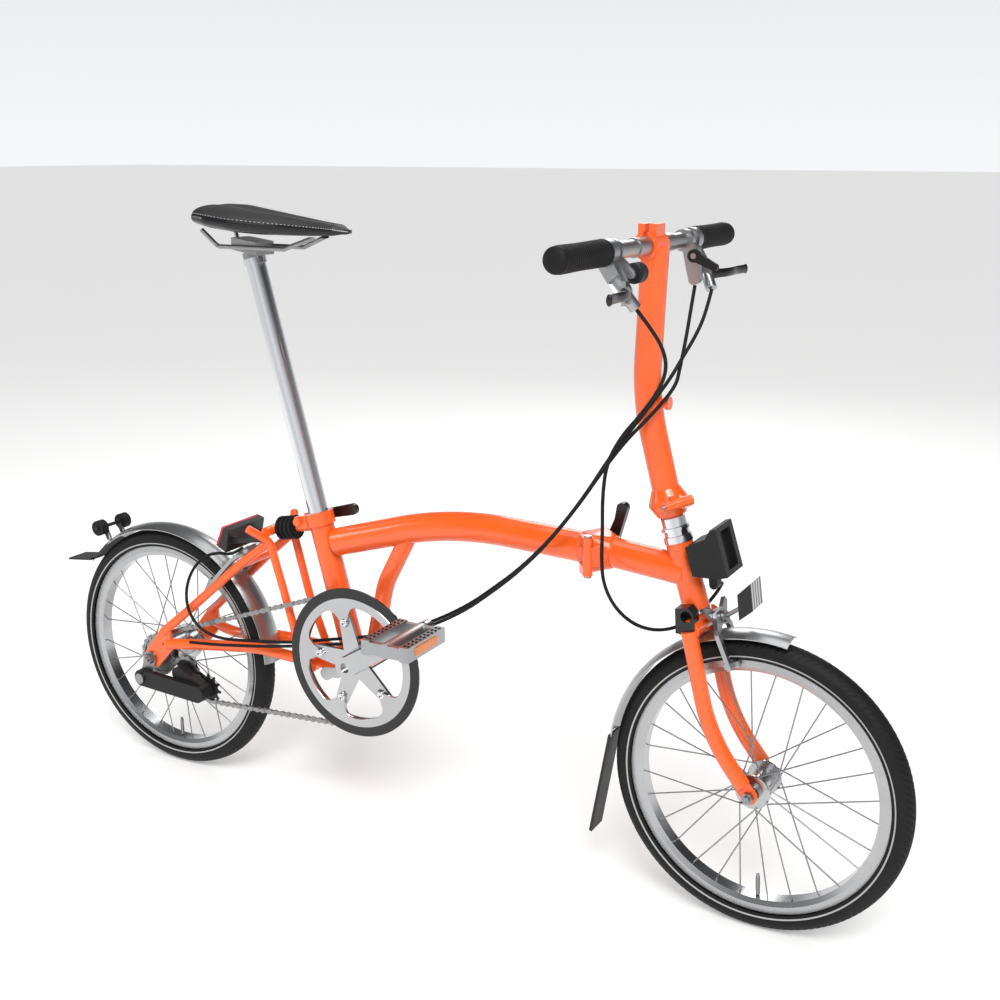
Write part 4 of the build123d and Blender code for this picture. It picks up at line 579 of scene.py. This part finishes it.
def saddlePoints(look, form):
    # across each station the cover is a rounded box: y = half * c^k, z goes from the skirt's edge up
    # over the crown; the crown dips along the middle and the skirt turns under
    t = 0.5 - 0.5 * np.cos(np.linspace(0, np.pi, look["rows"]))
    x = form["x"][0] + t * (form["x"][-1] - form["x"][0])
    half, top, low = (np.interp(x, form["x"], form[key]) for key in ("half", "top", "low"))
    for _ in range(3):
        half[1:-1], top[1:-1], low[1:-1] = ((v[:-2] + v[1:-1] * 2 + v[2:]) / 4
                                            for v in (half, top, low))
    v = np.linspace(0, 2 * np.pi, look["columns"], endpoint=False)
    c, s = np.cos(v), np.sin(v)
    across = np.sign(c) * np.abs(c) ** 0.75
    rise = np.sign(s) * np.abs(s) ** 0.85
    middle = (top * 0.45 + low * 0.55)[:, None]
    up = np.where(rise > 0, rise * (top[:, None] - middle), rise * (middle - low[:, None]))
    y = half[:, None] * across * np.where(rise < 0, 1 - 0.10 * rise ** 2, 1.0)
    part = np.linspace(0, 1, look["rows"])[:, None]
    dip = -0.0028 * np.exp(-(y / 0.011) ** 2) * stepUp(part, 0.12, 0.3) * (1 - stepUp(part, 0.75, 0.95))
    seam = -0.0009 * np.exp(-((np.abs(v - np.pi / 2) / (2 * np.pi) - look["seam"]) / 0.008) ** 2)
    z = middle + up + np.where(rise > 0.3, dip, 0)
    y = y * (1 + seam * 12)
    hollow = np.where(rise < -0.5, 0.006 * np.exp(-(y / 0.03) ** 2), 0)
    return np.stack([np.repeat(x[:, None], len(v), 1), y, z + hollow], -1), part, v


points, part, v = saddlePoints(saddleLook, saddleForm)
points[0] = points[0].mean(0)
points[-1] = points[-1].mean(0)
fromTop = np.abs(v - np.pi / 2) / (2 * np.pi)
fromTop = np.minimum(fromTop, 1 - fromTop)
uv = np.stack(np.broadcast_arrays(part, fromTop[None]), -1).reshape(-1, 2)


def saddleFinish(look):
    # grained cover on top, smooth gloss band below the seam, told apart by the piece's own UV map
    shade = Shade("saddle_cover")
    u, across, _ = shade.split(shade.node("ShaderNodeTexCoord", out=2))
    side = across > look["seam"]
    cells = shade.node("ShaderNodeTexVoronoi", {}, {"Vector": shade.coords(), "Scale": 900.0})
    fold = shade.noise(shade.coords(), 30.0, 3.0)
    colour = shade.mix(side, (0.022, 0.022, 0.023), (0.010, 0.010, 0.011))
    return shade.surface(Base_Color=colour, Roughness=fold * 0.12 + 0.46 - side * 0.26,
                         Normal=shade.bump(cells * (1 - side) + fold * 0.2, 0.4, 0.0004))


saddle = putMesh("saddleCover", points, gridFaces(*points.shape[:2], False, True), "seat_post",
                 saddleFinish(saddleLook), stands=["saddle"], uv=uv)

stitchLook = {"count": 62, "length": 0.0026, "thick": 0.0004, "corners": 6}


def beads(places, along, length, thick, corners):
    # one short rounded bar at each place, lying along its direction
    profile = np.array([(-0.5, 0), (-0.42, 0.8), (0, 1.0), (0.42, 0.8), (0.5, 0)])
    angle = np.linspace(0, 2 * np.pi, corners, endpoint=False)
    side = np.cross(along, [0.0, 0.0, 1.0])
    side /= np.linalg.norm(side, axis=1)[:, None]
    up = np.cross(side, along)
    ring = np.cos(angle)[None, :, None] * side[:, None] + np.sin(angle)[None, :, None] * up[:, None]
    made = (places[:, None, None, :]
            + (profile[:, 0] * length)[None, :, None, None] * along[:, None, None]
            + (profile[:, 1] * thick)[None, :, None, None] * ring[:, None])
    faces = gridFaces(len(profile), corners, False, True)
    size = len(profile) * corners
    allFaces = (faces[None] + np.arange(len(places))[:, None, None] * size).reshape(-1, 4)
    return made.reshape(-1, 3), allFaces


column = [int(np.argmin(np.abs(fromTop - saddleLook["seam"] + 0.012) + (np.cos(v) * sign < 0)))
          for sign in (1, -1)]
rowsUsed = np.linspace(8, saddleLook["rows"] - 9, stitchLook["count"])
places, along = [], []
for index in column:
    line = points[:, index]
    spots = np.stack([np.interp(rowsUsed, np.arange(len(line)), line[:, axis]) for axis in range(3)], -1)
    heading = np.gradient(spots, axis=0)
    places.append(spots)
    along.append(heading / np.linalg.norm(heading, axis=1)[:, None])
stitches, stitchFaces = beads(np.vstack(places), np.vstack(along), stitchLook["length"],
                              stitchLook["thick"], stitchLook["corners"])
putMesh("saddleStitches", stitches, stitchFaces, "seat_post",
        finishes["clear_reflector"])
print("stage: saddle")

# chain
chainLook = {"pitch": 0.0127, "teeth": (54, 16, 11, 11), "ways": (1, 1, -1, 1), "samples": 80,
             "innerY": (0.0013, 0.0020), "outerY": (0.0021, 0.0028), "end": 0.0041, "waist": 0.0021,
             "roller": (0.0039, 0.0012), "pin": (0.0018, 0.0031)}


def chainStations(look):
    # the route leaves each wheel on a tangent and wraps the next at its pitch circle, and counting
    # runs in pitches and wraps in teeth puts one roller at every whole number
    centres = [jointPlace(name)[[0, 2]] for name in
               ("crank_spin", "sprocket_spin", "upper_idler_spin", "lower_idler_spin")]
    radii = [look["pitch"] / (2 * math.sin(math.pi / teeth)) for teeth in look["teeth"]]
    headings, lengths = [], []
    for index in range(4):
        after = (index + 1) % 4
        step = centres[after] - centres[index]
        rise = look["ways"][index] * radii[index] - look["ways"][after] * radii[after]
        distance = np.hypot(*step)
        headings.append(math.atan2(step[1], step[0]) + math.asin(rise / distance))
        lengths.append(math.sqrt(distance ** 2 - rise ** 2))
    count, place = [], []
    travelled = 0.0
    for index in range(4):
        way = look["ways"][index]
        if index:
            wrap = (way * (headings[index] - headings[index - 1])) % (2 * math.pi)
            turn = np.linspace(0, wrap, look["samples"])
            angle = headings[index - 1] - way * math.pi / 2 + way * turn
            place.append(centres[index] + radii[index] * np.stack([np.cos(angle), np.sin(angle)], -1))
            count.append(travelled + turn * look["teeth"][index] / (2 * math.pi))
            travelled += wrap * look["teeth"][index] / (2 * math.pi)
        angle = headings[index] - way * math.pi / 2
        start = centres[index] + radii[index] * np.array([math.cos(angle), math.sin(angle)])
        run = np.linspace(0, lengths[index], 12)
        place.append(start + run[:, None] * np.array([math.cos(headings[index]),
                                                      math.sin(headings[index])]))
        count.append(travelled + run / look["pitch"])
        travelled += lengths[index] / look["pitch"]
    wrap = (headings[0] - headings[3]) % (2 * math.pi)
    turn = np.linspace(0, wrap, look["samples"] * 3)
    angle = headings[3] - math.pi / 2 + turn
    place.append(centres[0] + radii[0] * np.stack([np.cos(angle), np.sin(angle)], -1))
    count.append(travelled + turn * look["teeth"][0] / (2 * math.pi))
    travelled += wrap * look["teeth"][0] / (2 * math.pi)
    total = round(travelled)
    order, path = np.concatenate(count), np.vstack(place)
    index = np.arange(total)
    return np.stack([np.interp(index, order, path[:, 0]), np.interp(index, order, path[:, 1])], -1)


def prisms(outline, origin, along, up, lowY, highY):
    # the same flat outline at every origin, given thickness along Y
    flat = (origin[:, None, :] + outline[None, :, :1] * along[:, None, :]
            + outline[None, :, 1:] * up[:, None, :])
    size = len(outline)
    points = np.stack([np.concatenate([flat[..., 0], flat[..., 0]], 1),
                       np.concatenate([np.full(flat.shape[:2], lowY),
                                       np.full(flat.shape[:2], highY)], 1),
                       np.concatenate([flat[..., 1], flat[..., 1]], 1)], -1)
    ring = np.arange(size)
    walls = np.stack([ring, (ring + 1) % size, (ring + 1) % size + size, ring + size], -1)
    faces = []
    for number in range(len(origin)):
        shift = number * 2 * size
        faces += (walls + shift).tolist()
        faces += [(ring + shift).tolist(), (ring[::-1] + size + shift).tolist()]
    return points.reshape(-1, 3), faces


rollers = chainStations(chainLook)
nextRoller = np.roll(rollers, -1, axis=0)
heading = nextRoller - rollers
heading /= np.linalg.norm(heading, axis=1)[:, None]
lift = np.stack([-heading[:, 1], heading[:, 0]], -1)
middles = (rollers + nextRoller) / 2
angle = np.linspace(0, 2 * np.pi, 18, endpoint=False)
halfPitch = chainLook["pitch"] / 2
bow = np.radians(np.linspace(-118, 118, 9))
rightEnd = np.stack([halfPitch + chainLook["end"] * np.cos(bow), chainLook["end"] * np.sin(bow)], -1)
middle = np.array([[0, chainLook["waist"]]])
plate = np.vstack([rightEnd, middle, -rightEnd, -middle])
disc = np.stack([np.cos(angle), np.sin(angle)], -1)
chainY = jointPlace("upper_idler_spin")[1]
parts = []
for parity, (lowY, highY) in ((0, chainLook["innerY"]), (1, chainLook["outerY"])):
    for side in (1, -1):
        pick = slice(parity, None, 2)
        parts.append(prisms(plate, middles[pick], heading[pick], lift[pick],
                            chainY + side * lowY, chainY + side * highY))
for size, halfWidth in (chainLook["roller"], chainLook["pin"]):
    parts.append(prisms(disc * size, rollers, heading, lift, chainY - halfWidth, chainY + halfWidth))
chainPoints, chainFaces, shift = [], [], 0
for points, faces in parts:
    chainPoints.append(points)
    chainFaces += [[corner + shift for corner in face] for face in faces]
    shift += len(points)
chain = putMesh("chainLinks", np.vstack(chainPoints), chainFaces, None, finishes["steel"],
                smooth=False, stands=["chain"])
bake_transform(chain)
print("stage: chain,", len(rollers), "links")

# five-arm spider, ring and bolts beside the chainring
spiderLook = {"ring": (0.0905, 0.1040), "fillet": 0.034, "spread": 0.155, "front": -0.0540,
              "back": -0.0502, "arms": 5, "bolts": 0.0650, "columns": 720}


def spiderRing(centre, look, phase):
    # the ring's inner edge comes in by a bell curve at each arm, so arm and ring meet in a fillet:
    # inner = ring - fillet * exp(-(angle from the arm / spread)^2)
    around = np.linspace(0, 2 * np.pi, look["columns"], endpoint=False)
    step = 2 * np.pi / look["arms"]
    offset = (around - phase + step / 2) % step - step / 2
    inner = look["ring"][0] - look["fillet"] * np.exp(-(offset / look["spread"]) ** 2)
    outer = np.full_like(inner, look["ring"][1])
    bevel = 0.0007
    radius = np.stack([inner + bevel, outer - bevel, outer, outer, inner, inner])
    across = np.array([look["front"], look["front"], look["front"] + bevel, look["back"], look["back"],
                       look["front"] + bevel])[:, None] + np.zeros_like(radius)
    return np.stack([centre[0] + radius * np.cos(around), across,
                     centre[2] + radius * np.sin(around)], -1)


crankCentre = jointPlace("crank_spin")
crankLow, crankHigh = boxOf("right_pedal")
reach = (crankLow + crankHigh) / 2 - crankCentre
crankAngle = math.atan2(reach[2], reach[0])
ring = spiderRing(crankCentre, spiderLook, crankAngle)
putMesh("spiderRing", ring, gridFaces(ring.shape[0], ring.shape[1], True, True),
        bodyOfNode["crank_arms"], finishes["polished_aluminium"], smooth=False)
for index in range(spiderLook["arms"]):
    turn = crankAngle + index * 2 * math.pi / spiderLook["arms"]
    spot = crankCentre + spiderLook["bolts"] * np.array([math.cos(turn), 0, math.sin(turn)])
    spot[1] = spiderLook["front"] + 0.0035
    profile = [(0, 0), (0, 0.0062), (0.0040, 0.0062), (0.0048, 0.0054), (0.0048, 0.0034),
               (0.0036, 0.0030), (0.0036, 0)]
    bolt = turned(spot, (0, -1, 0), profile, 24)
    putMesh(f"chainringBolt{index}", bolt, gridFaces(len(profile), 24, False, True),
            bodyOfNode["crank_arms"], finishes["chrome"])
print("stage: spider")

# cables
cableLook = {"radius": 0.0025, "resolution": 10}
cables = {
    "frontBrake": [
        ("stem", "fork", (0.40, -0.05, 0.735), (0.34, -0.054, 0.682),
         [(0.3936, -0.1275, 0.858), (0.404, -0.104, 0.832), (0.409, -0.074, 0.802),
          (0.404, -0.051, 0.772), (0.389, -0.042, 0.742), (0.367, -0.047, 0.710),
          (0.343, -0.054, 0.680), (0.334, -0.0555, 0.662)]),
        ("fork", "front_frame", (0.332, -0.056, 0.655), (0.319, -0.054, 0.605),
         [(0.334, -0.0555, 0.662), (0.325, -0.057, 0.644), (0.318, -0.054, 0.598),
          (0.3175, -0.052, 0.5735)]),
        ("front_frame", "fork", (0.316, -0.046, 0.49), (0.335, -0.03, 0.43),
         [(0.3175, -0.052, 0.5735), (0.317, -0.050, 0.549), (0.315, -0.048, 0.505),
          (0.317, -0.044, 0.470), (0.330, -0.034, 0.436), (0.350, -0.016, 0.410),
          (0.372, 0.010, 0.396), (0.394, 0.038, 0.396), (0.414, 0.059, 0.412),
          (0.432, 0.068, 0.436), (0.446, 0.062, 0.458), (0.454, 0.046, 0.471),
          (0.454, 0.031, 0.466)]),
    ],
    "rearBrake": [
        ("stem", "fork", (0.375, -0.02, 0.73), (0.345, -0.032, 0.685),
         [(0.3936, 0.1275, 0.858), (0.394, 0.106, 0.826), (0.390, 0.078, 0.797),
          (0.386, 0.042, 0.772), (0.384, 0.008, 0.750), (0.373, -0.022, 0.724),
          (0.350, -0.029, 0.690), (0.337, -0.0345, 0.671)]),
        ("fork", "front_frame", (0.335, -0.035, 0.668), (0.308, -0.043, 0.625),
         [(0.337, -0.0345, 0.671), (0.324, -0.040, 0.652), (0.305, -0.0435, 0.620)]),
        ("front_frame", "main_frame", (0.303, -0.044, 0.617), (0.264, -0.047, 0.559),
         [(0.305, -0.0435, 0.620), (0.286, -0.047, 0.588), (0.261, -0.0475, 0.555)]),
        ("main_frame", "rear_frame", (-0.160, -0.031, 0.297), (-0.235, -0.044, 0.283),
         [(0.261, -0.0475, 0.555), (0.236, -0.048, 0.522), (0.188, -0.043, 0.474),
          (0.150, -0.038, 0.442), (0.094, -0.031, 0.398), (0.030, -0.026, 0.360),
          (-0.032, -0.025, 0.332), (-0.092, -0.026, 0.313), (-0.152, -0.029, 0.299),
          (-0.204, -0.036, 0.288), (-0.228, -0.043, 0.284), (-0.268, -0.050, 0.280),
          (-0.322, -0.053, 0.273), (-0.366, -0.057, 0.270), (-0.402, -0.060, 0.280),
          (-0.424, -0.062, 0.308), (-0.430, -0.058, 0.342), (-0.424, -0.048, 0.374),
          (-0.406, -0.036, 0.398), (-0.380, -0.029, 0.406), (-0.354, -0.028, 0.405),
          (-0.331, -0.028, 0.421)]),
    ],
    "gear": [
        ("stem", "fork", (0.378, -0.03, 0.712), (0.345, -0.047, 0.672),
         [(0.375, 0.112, 0.864), (0.374, 0.102, 0.832), (0.378, 0.076, 0.793),
          (0.386, 0.038, 0.761), (0.395, 0.003, 0.742), (0.376, -0.033, 0.708),
          (0.350, -0.046, 0.678), (0.3355, -0.0485, 0.658)]),
        ("fork", "front_frame", (0.333, -0.049, 0.654), (0.304, -0.054, 0.611),
         [(0.3355, -0.0485, 0.658), (0.321, -0.051, 0.638), (0.301, -0.054, 0.607)]),
        ("front_frame", "main_frame", (0.299, -0.054, 0.604), (0.260, -0.056, 0.549),
         [(0.301, -0.054, 0.607), (0.281, -0.057, 0.576), (0.2565, -0.0565, 0.545)]),
        ("main_frame", "rear_frame", (-0.160, -0.033, 0.289), (-0.235, -0.046, 0.277),
         [(0.2565, -0.0565, 0.545), (0.232, -0.056, 0.514), (0.184, -0.050, 0.466),
          (0.146, -0.044, 0.434), (0.092, -0.037, 0.391), (0.028, -0.031, 0.354),
          (-0.033, -0.030, 0.324), (-0.092, -0.031, 0.305), (-0.152, -0.032, 0.291),
          (-0.204, -0.037, 0.281), (-0.228, -0.044, 0.278), (-0.270, -0.055, 0.273),
          (-0.324, -0.059, 0.266), (-0.372, -0.064, 0.260), (-0.420, -0.066, 0.256)]),
    ],
}
for name, spans in cables.items():
    for number, (first, second, start, end, route) in enumerate(spans):
        curve = bpy.data.curves.new(f"{name}Cable{number}", "CURVE")
        curve.dimensions = "3D"
        curve.bevel_depth = cableLook["radius"]
        curve.bevel_resolution = 3
        curve.use_fill_caps = True
        curve.resolution_u = cableLook["resolution"]
        spline = curve.splines.new("NURBS")
        spline.points.add(len(route) - 1)
        spline.points.foreach_set("co", np.insert(np.array(route), 3, 1.0, axis=1).ravel())
        spline.order_u = 3
        spline.use_endpoint_u = True
        line = bpy.data.objects.new(curve.name, curve)
        bpy.context.scene.collection.objects.link(line)
        bpy.context.view_layer.update()
        drawn = line.evaluated_get(bpy.context.evaluated_depsgraph_get())
        tube = bpy.data.meshes.new_from_object(drawn)
        bpy.data.objects.remove(line)
        tube.materials.clear()
        tube.materials.append(finishes["black_rubber"])
        tube.polygons.foreach_set("use_smooth", np.ones(len(tube.polygons), bool))
        piece = bpy.data.objects.new(f"{name}Cable{number}", tube)
        bpy.context.scene.collection.objects.link(piece)
        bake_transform(piece)
        if (name, number) == ("frontBrake", 0):
            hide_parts("cables")
print("stage: cables")

# reflectors and treads on the pedals
pedalLook = {"long": 0.058, "tall": 0.013, "deep": 0.003, "power": 7, "studs": 9, "stud": 0.0022,
             "rise": 0.0016}


def cushionBox(centre, half, power, rows=22, columns=44):
    # a super-ellipsoid: each side keeps |x|^n + |y|^n + |z|^n = 1 with n large
    up = np.linspace(-np.pi / 2, np.pi / 2, rows)
    around = np.linspace(-np.pi, np.pi, columns, endpoint=False)
    shape = lambda value: np.sign(value) * np.abs(value) ** (2.0 / power)
    x = shape(np.cos(up))[:, None] * shape(np.cos(around))[None]
    y = shape(np.cos(up))[:, None] * shape(np.sin(around))[None]
    z = np.repeat(shape(np.sin(up))[:, None], columns, 1)
    return np.stack([x, y, z], -1) * np.asarray(half) + np.asarray(centre)


for body in ("left_pedal", "right_pedal"):
    low, high = boxOf(body)
    centre = (low + high) / 2
    for side, label in ((1, "Front"), (-1, "Back")):
        spot = np.array([centre[0] + side * (high[0] - centre[0] + 0.0003), centre[1], centre[2]])
        half = (pedalLook["deep"] / 2, pedalLook["long"] / 2, pedalLook["tall"] / 2)
        points = cushionBox(spot, half, pedalLook["power"])
        putMesh(body + label + "Reflector", points, gridFaces(22, 44, False, True), body,
                finishes["amber_reflector"])
    alongBar = np.linspace(low[1] + 0.008, high[1] - 0.008, pedalLook["studs"])
    rows = [low[0] + 0.004, low[0] + 0.010, high[0] - 0.010, high[0] - 0.004]
    x, y, side = (grid.ravel() for grid in np.meshgrid(rows, alongBar, (1, -1)))
    base = np.stack([x, y, np.where(side > 0, high[2], low[2]) - side * 0.0004], -1)
    s = pedalLook["stud"]
    square = np.array([(-s, -s), (s, -s), (s, s), (-s, s)])
    levels = [(1.0, 0.0), (0.55, pedalLook["rise"])]
    points = np.stack([np.stack([base[:, None, 0] + square[:, 0] * size,
                                 base[:, None, 1] + square[:, 1] * size,
                                 np.repeat((base[:, 2] + side * rise)[:, None], 4, 1)], -1)
                       for size, rise in levels], 1)
    cube = np.array([(0, 1, 2, 3), (4, 5, 6, 7), (0, 1, 5, 4), (1, 2, 6, 5), (2, 3, 7, 6), (3, 0, 4, 7)])
    faces = (cube[None] + np.arange(len(base))[:, None, None] * 8).reshape(-1, 4)
    putMesh(body + "Studs", points, faces, body, finishes["black_plastic"],
            smooth=False)
print("stage: pedals")

# bell drum with a knurled band
bellLook = {"knurls": 48, "depth": 0.0005, "columns": 192, "rows": 40}
low, high = boxOf("bell")
bellRadius = (high[0] - low[0]) / 2
length = high[1] - low[1]
part = np.linspace(0, 1, bellLook["rows"])
edge = np.clip(np.minimum(part, 1 - part) / 0.12, 0, 1)
radius = bellRadius - 0.0022 * (1 - np.sqrt(1 - (1 - edge) ** 2))
profile = np.stack([part * length, radius], -1)
profile = np.vstack([[0, 0], [0, radius[0] * 0.75], profile[1:-1],
                     [length, radius[-1] * 0.75], [length, 0]])
origin = np.array([(low[0] + high[0]) / 2, low[1], (low[2] + high[2]) / 2])
points = turned(origin, (0, 1, 0), profile, bellLook["columns"])
around = np.linspace(0, 2 * np.pi, bellLook["columns"], endpoint=False)
level = profile[:, 0] / length
band = stepUp(level, 0.2, 0.26) * (1 - stepUp(level, 0.74, 0.8))
cut = band[:, None] * bellLook["depth"] * (0.5 + 0.5 * np.cos(bellLook["knurls"] * around))[None]
points = origin + (points - origin) * np.stack([1 - cut / bellRadius, np.ones_like(cut),
                                                1 - cut / bellRadius], -1)
putMesh("bellDrum", points, gridFaces(len(profile), bellLook["columns"], False, True), "bell",
        finishes["black_plastic"], stands=["bell"])
print("stage: bell")

# floor, light and camera
viewLook = {"place": (1.0316, -1.5724, 1.0478), "azimuth": 28.782, "elevation": 13.116, "roll": -0.02,
            "lens": 47.02, "shift": (-0.0229, -0.0482), "floor": (0.80, 0.80, 0.79),
            "glow": 0.27, "sky": (0.97, 0.98, 1.0), "brightWay": (-0.48, 0.876, 0.0),
            "sideDark": 0.45, "sideEdge": (0.25, 0.75),
            "skyStops": ((0.0, 0.95), (0.12, 0.85), (0.35, 0.10), (1.0, 0.35))}


def stageFinish():
    shade = Shade("pale_floor")
    drift = shade.noise(shade.coords(), 2.0, 3.0)
    colour = shade.mix(drift, viewLook["floor"], (0.83, 0.83, 0.82))
    return shade.surface(Base_Color=colour, Roughness=0.85, Emission_Color=(1, 1, 1, 1),
                         Emission_Strength=viewLook["glow"])


corner = np.array([(-60, -60, 0), (60, -60, 0), (60, 60, 0), (-60, 60, 0)], float)
corner[:, 2] = cadBounds[0][2] - 0.0002
floorMesh = bpy.data.meshes.new("floor")
floorMesh.from_pydata(corner.tolist(), [], [(0, 1, 2, 3)])
floorMesh.materials.append(stageFinish())
floor = bpy.data.objects.new("floor", floorMesh)
bpy.context.scene.collection.objects.link(floor)

lamps = [("key", (1.2, -2.4, 3.0), (0.0, 0.0, 0.4), 1.2, 40.0),
         ("fill", (-2.8, -1.4, 1.6), (0.0, 0.0, 0.45), 1.0, 16.0),
         ("top", (0.0, 0.3, 3.2), (0.0, 0.0, 0.3), 2.0, 20.0),
         ("back", (-0.8, 2.8, 2.2), (0.0, 0.0, 0.5), 1.4, 25.0)]
for name, place, target, size, power in lamps:
    light = bpy.data.lights.new(name, "AREA")
    light.size = size
    light.energy = power
    lamp = bpy.data.objects.new(name, light)
    direction = np.array(target) - np.array(place)
    lamp.location = place
    tilt = math.acos(-direction[2] / np.linalg.norm(direction))
    lamp.rotation_euler = (tilt, 0, math.atan2(direction[1], direction[0]) - math.pi / 2)
    bpy.context.scene.collection.objects.link(lamp)

sun = bpy.data.lights.new("sun", "SUN")
sun.energy = 1.9
sun.angle = 0.6
sunLamp = bpy.data.objects.new("sun", sun)
sunLamp.rotation_euler = (math.radians(38), math.radians(14), math.radians(20))
bpy.context.scene.collection.objects.link(sunLamp)

# the sky's grey goes by height, and its strength by direction: full along brightWay either way,
# sideDark across it
world = bpy.data.worlds.new("studio")
world.use_nodes = True
sky = world.node_tree.nodes["Background"]
way = world.node_tree.nodes.new("ShaderNodeTexCoord")
height = world.node_tree.nodes.new("ShaderNodeSeparateXYZ")
ramp = world.node_tree.nodes.new("ShaderNodeValToRGB")
for index, (place, value) in enumerate(viewLook["skyStops"]):
    stop = ramp.color_ramp.elements[index] if index < 2 else ramp.color_ramp.elements.new(place)
    stop.position = place
    stop.color = (*(value * np.array(viewLook["sky"])), 1)
world.node_tree.links.new(way.outputs[0], height.inputs[0])
world.node_tree.links.new(height.outputs[2], ramp.inputs[0])
world.node_tree.links.new(ramp.outputs[0], sky.inputs[0])
along = world.node_tree.nodes.new("ShaderNodeVectorMath")
along.operation = "DOT_PRODUCT"
along.inputs[1].default_value = viewLook["brightWay"]
square = world.node_tree.nodes.new("ShaderNodeMath")
square.operation = "POWER"
square.inputs[1].default_value = 2.0
flag = world.node_tree.nodes.new("ShaderNodeMapRange")
flag.inputs["To Min"].default_value = viewLook["sideDark"]
flag.inputs["From Min"].default_value, flag.inputs["From Max"].default_value = viewLook["sideEdge"]
world.node_tree.links.new(way.outputs[0], along.inputs[0])
world.node_tree.links.new(along.outputs["Value"], square.inputs[0])
world.node_tree.links.new(square.outputs[0], flag.inputs[0])
world.node_tree.links.new(flag.outputs[0], sky.inputs[1])
bpy.context.scene.world = world
bpy.context.scene.view_settings.view_transform = "Standard"

cameraData = bpy.data.cameras.new("camera")
cameraData.lens = viewLook["lens"]
cameraData.sensor_width = 36.0
cameraData.shift_x, cameraData.shift_y = viewLook["shift"]
camera = bpy.data.objects.new("camera", cameraData)
camera.location = viewLook["place"]
camera.rotation_euler = (math.radians(90 - viewLook["elevation"]), math.radians(viewLook["roll"]),
                         math.radians(viewLook["azimuth"]))
bpy.context.scene.collection.objects.link(camera)
bpy.context.scene.camera = camera
print("stage: floor, light and camera")
